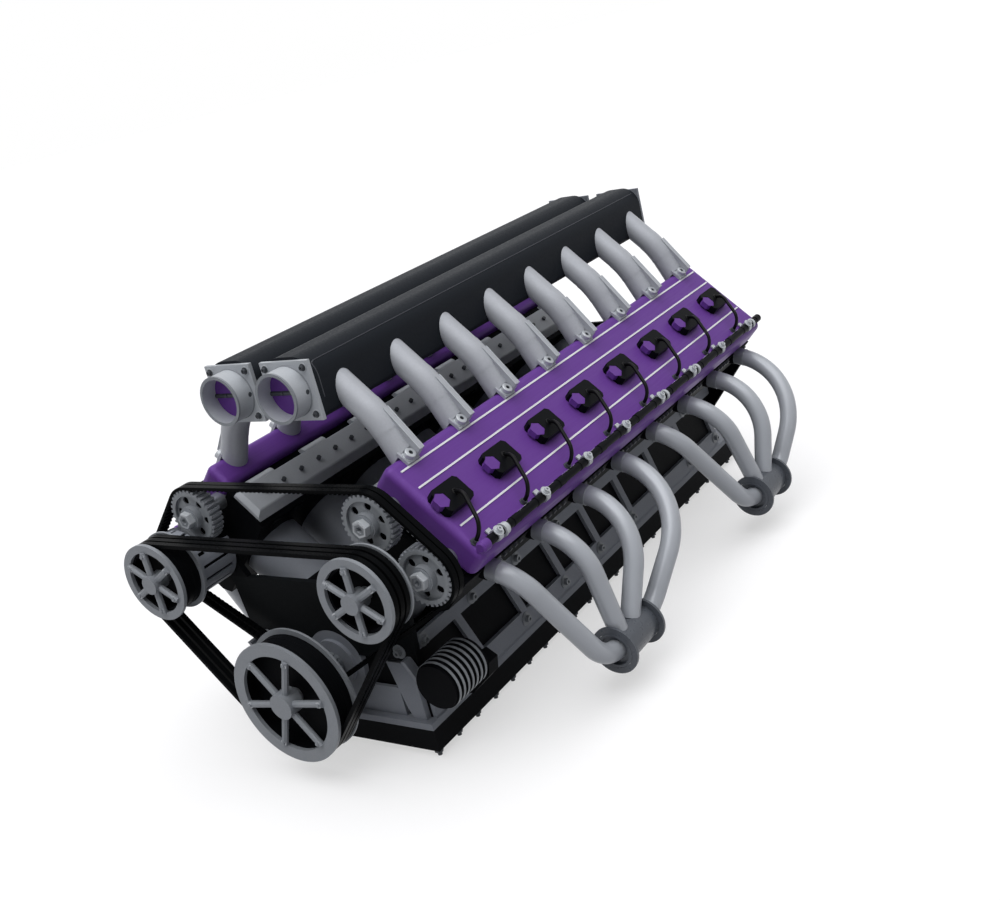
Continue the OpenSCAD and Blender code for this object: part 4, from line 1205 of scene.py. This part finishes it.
@dataclass(frozen=True)
class Studio:
    """Pale floor, white surroundings, a soft overhead key and a weak fill."""

    floor_z: float = -0.1202
    floor_size: float = 120.0
    floor_colour: str = "b0b0b2"
    floor_glow: float = 0.57
    key_level: float = 0.88
    fill_level: float = 0.18
    world_level: float = 0.12
    key_spread: float = 70.0
    fill_spread: float = 40.0
    key_from: tuple[float, float, float] = (0.1, -0.08, 0.99)
    fill_from: tuple[float, float, float] = (0.1, -0.6, 0.79)

    def seen_white(self, tree: bpy.types.NodeTree) -> bpy.types.NodeSocket:
        """Adds up the rays that see the background itself: camera, glossy and transmission."""
        path = add_node(tree, "ShaderNodeLightPath")
        gloss = add_node(
            tree,
            "ShaderNodeMath",
            {"operation": "ADD"},
            {0: path.outputs["Is Camera Ray"], 1: path.outputs["Is Glossy Ray"]},
        )
        total = add_node(
            tree,
            "ShaderNodeMath",
            {"operation": "ADD", "use_clamp": True},
            {0: gloss.outputs[0], 1: path.outputs["Is Transmission Ray"]},
        )
        return total.outputs[0]

    def floor(self) -> None:
        """Lays the pale floor, which looks white where it is lit and keeps the shadow."""
        piece = bmesh.new()
        bmesh.ops.create_grid(piece, x_segments=1, y_segments=1, size=self.floor_size / 2)
        mesh = bpy.data.meshes.new("Floor")
        piece.to_mesh(mesh)
        piece.free()
        material = bpy.data.materials.new("Studio_floor")
        material.use_nodes = True
        tree = material.node_tree
        shader = tree.nodes["Principled BSDF"]
        shader.inputs["Base Color"].default_value = to_linear(self.floor_colour)
        shader.inputs["Roughness"].default_value = 0.9
        shader.inputs["Specular IOR Level"].default_value = 0.1
        shader.inputs["Emission Color"].default_value = (1, 1, 1, 1)
        shown = add_node(
            tree,
            "ShaderNodeMath",
            {"operation": "MULTIPLY"},
            {0: self.seen_white(tree), 1: self.floor_glow},
        )
        tree.links.new(shown.outputs[0], shader.inputs["Emission Strength"])
        mesh.materials.append(material)
        item = bpy.data.objects.new("Floor", mesh)
        item.location = (0, -0.45, self.floor_z)
        bpy.context.scene.collection.objects.link(item)

    def world(self) -> None:
        """Sets the white world, at full strength only where it is itself seen."""
        world = bpy.data.worlds.new("Studio")
        bpy.context.scene.world = world
        world.use_nodes = True
        tree = world.node_tree
        background = tree.nodes["Background"]
        background.inputs["Color"].default_value = (1, 1, 1, 1)
        strength = add_node(
            tree,
            "ShaderNodeMapRange",
            inputs={
                "Value": self.seen_white(tree),
                "To Min": self.world_level,
                "To Max": 1.0,
            },
        )
        tree.links.new(strength.outputs["Result"], background.inputs["Strength"])

    def lamp(
        self, name: str, source: tuple[float, float, float], level: float, spread: float
    ) -> None:
        """Hangs one far soft lamp, whose light is even over the whole floor.

        Args:
            name: The lamp's name.
            source: Direction that the light comes from.
            level: Share of a colour that a surface facing the lamp shows.
            spread: Angle of the lamp as seen from the object, in degrees.
        """
        data = bpy.data.lights.new(name, "SUN")
        data.energy = level * math.pi
        data.angle = math.radians(spread)
        item = bpy.data.objects.new(name, data)
        item.rotation_euler = (-Vector(source)).to_track_quat("-Z", "Y").to_euler()
        bpy.context.scene.collection.objects.link(item)

    def build(self) -> None:
        """Makes floor, world and lamps."""
        self.floor()
        self.world()
        self.lamp("Key", self.key_from, self.key_level, self.key_spread)
        self.lamp("Fill", self.fill_from, self.fill_level, self.fill_spread)


def dress_nodes() -> None:
    """Gives every CAD node its real finish and its broken edges."""
    for finish, nodes in NODE_FINISHES.items():
        material = finish.build()
        for name in nodes:
            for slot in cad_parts[name].material_slots:
                slot.material = material
    LOG.info("finishes on %d nodes", sum(len(n) for n in NODE_FINISHES.values()))
    for width, nodes in NODE_BEVELS.items():
        for name in nodes:
            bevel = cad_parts[name].modifiers.new("Broken_edges", "BEVEL")
            bevel.width = width * MM
            bevel.segments = 2
            bevel.limit_method = "ANGLE"
            bevel.angle_limit = math.radians(50)
            bevel.harden_normals = True


def main() -> None:
    """Builds the camera, the studio and every sub-assembly."""
    Camera().build()
    bpy.context.scene.view_settings.view_transform = "Standard"
    Studio().build()
    dress_nodes()
    for side in SIDES:
        for part in (CoverTrim(), Ignition(), Harness(), IntakeTrim(), ExhaustTrim()):
            part.build(side)
        name = SIDE_NAMES[side]
        CamGear(f"cam_inlet_{name}", side, -CAM_U).build()
        CamGear(f"cam_exhaust_{name}", side, CAM_U).build()
    upper_left, upper_right = (-UPPER_X, UPPER_Z), (UPPER_X, UPPER_Z)
    Pulley("crank_pulley", "crank_pulley_drum", "crank", (0.0, 0.0), 82.0, 22.0).build()
    Pulley(
        "alternator_pulley", "alternator_drum", "alternator_rotor", upper_left, 52.0, 0.0
    ).build()
    Pulley("pump_pulley", "pump_drum", "pump_rotor", upper_right, 52.0, 0.0).build()
    for part in (TimingTeeth(), Accessories(), BlockTrim()):
        part.build()


if __name__ == "__main__":
    logging.basicConfig(level=logging.INFO)
    main()
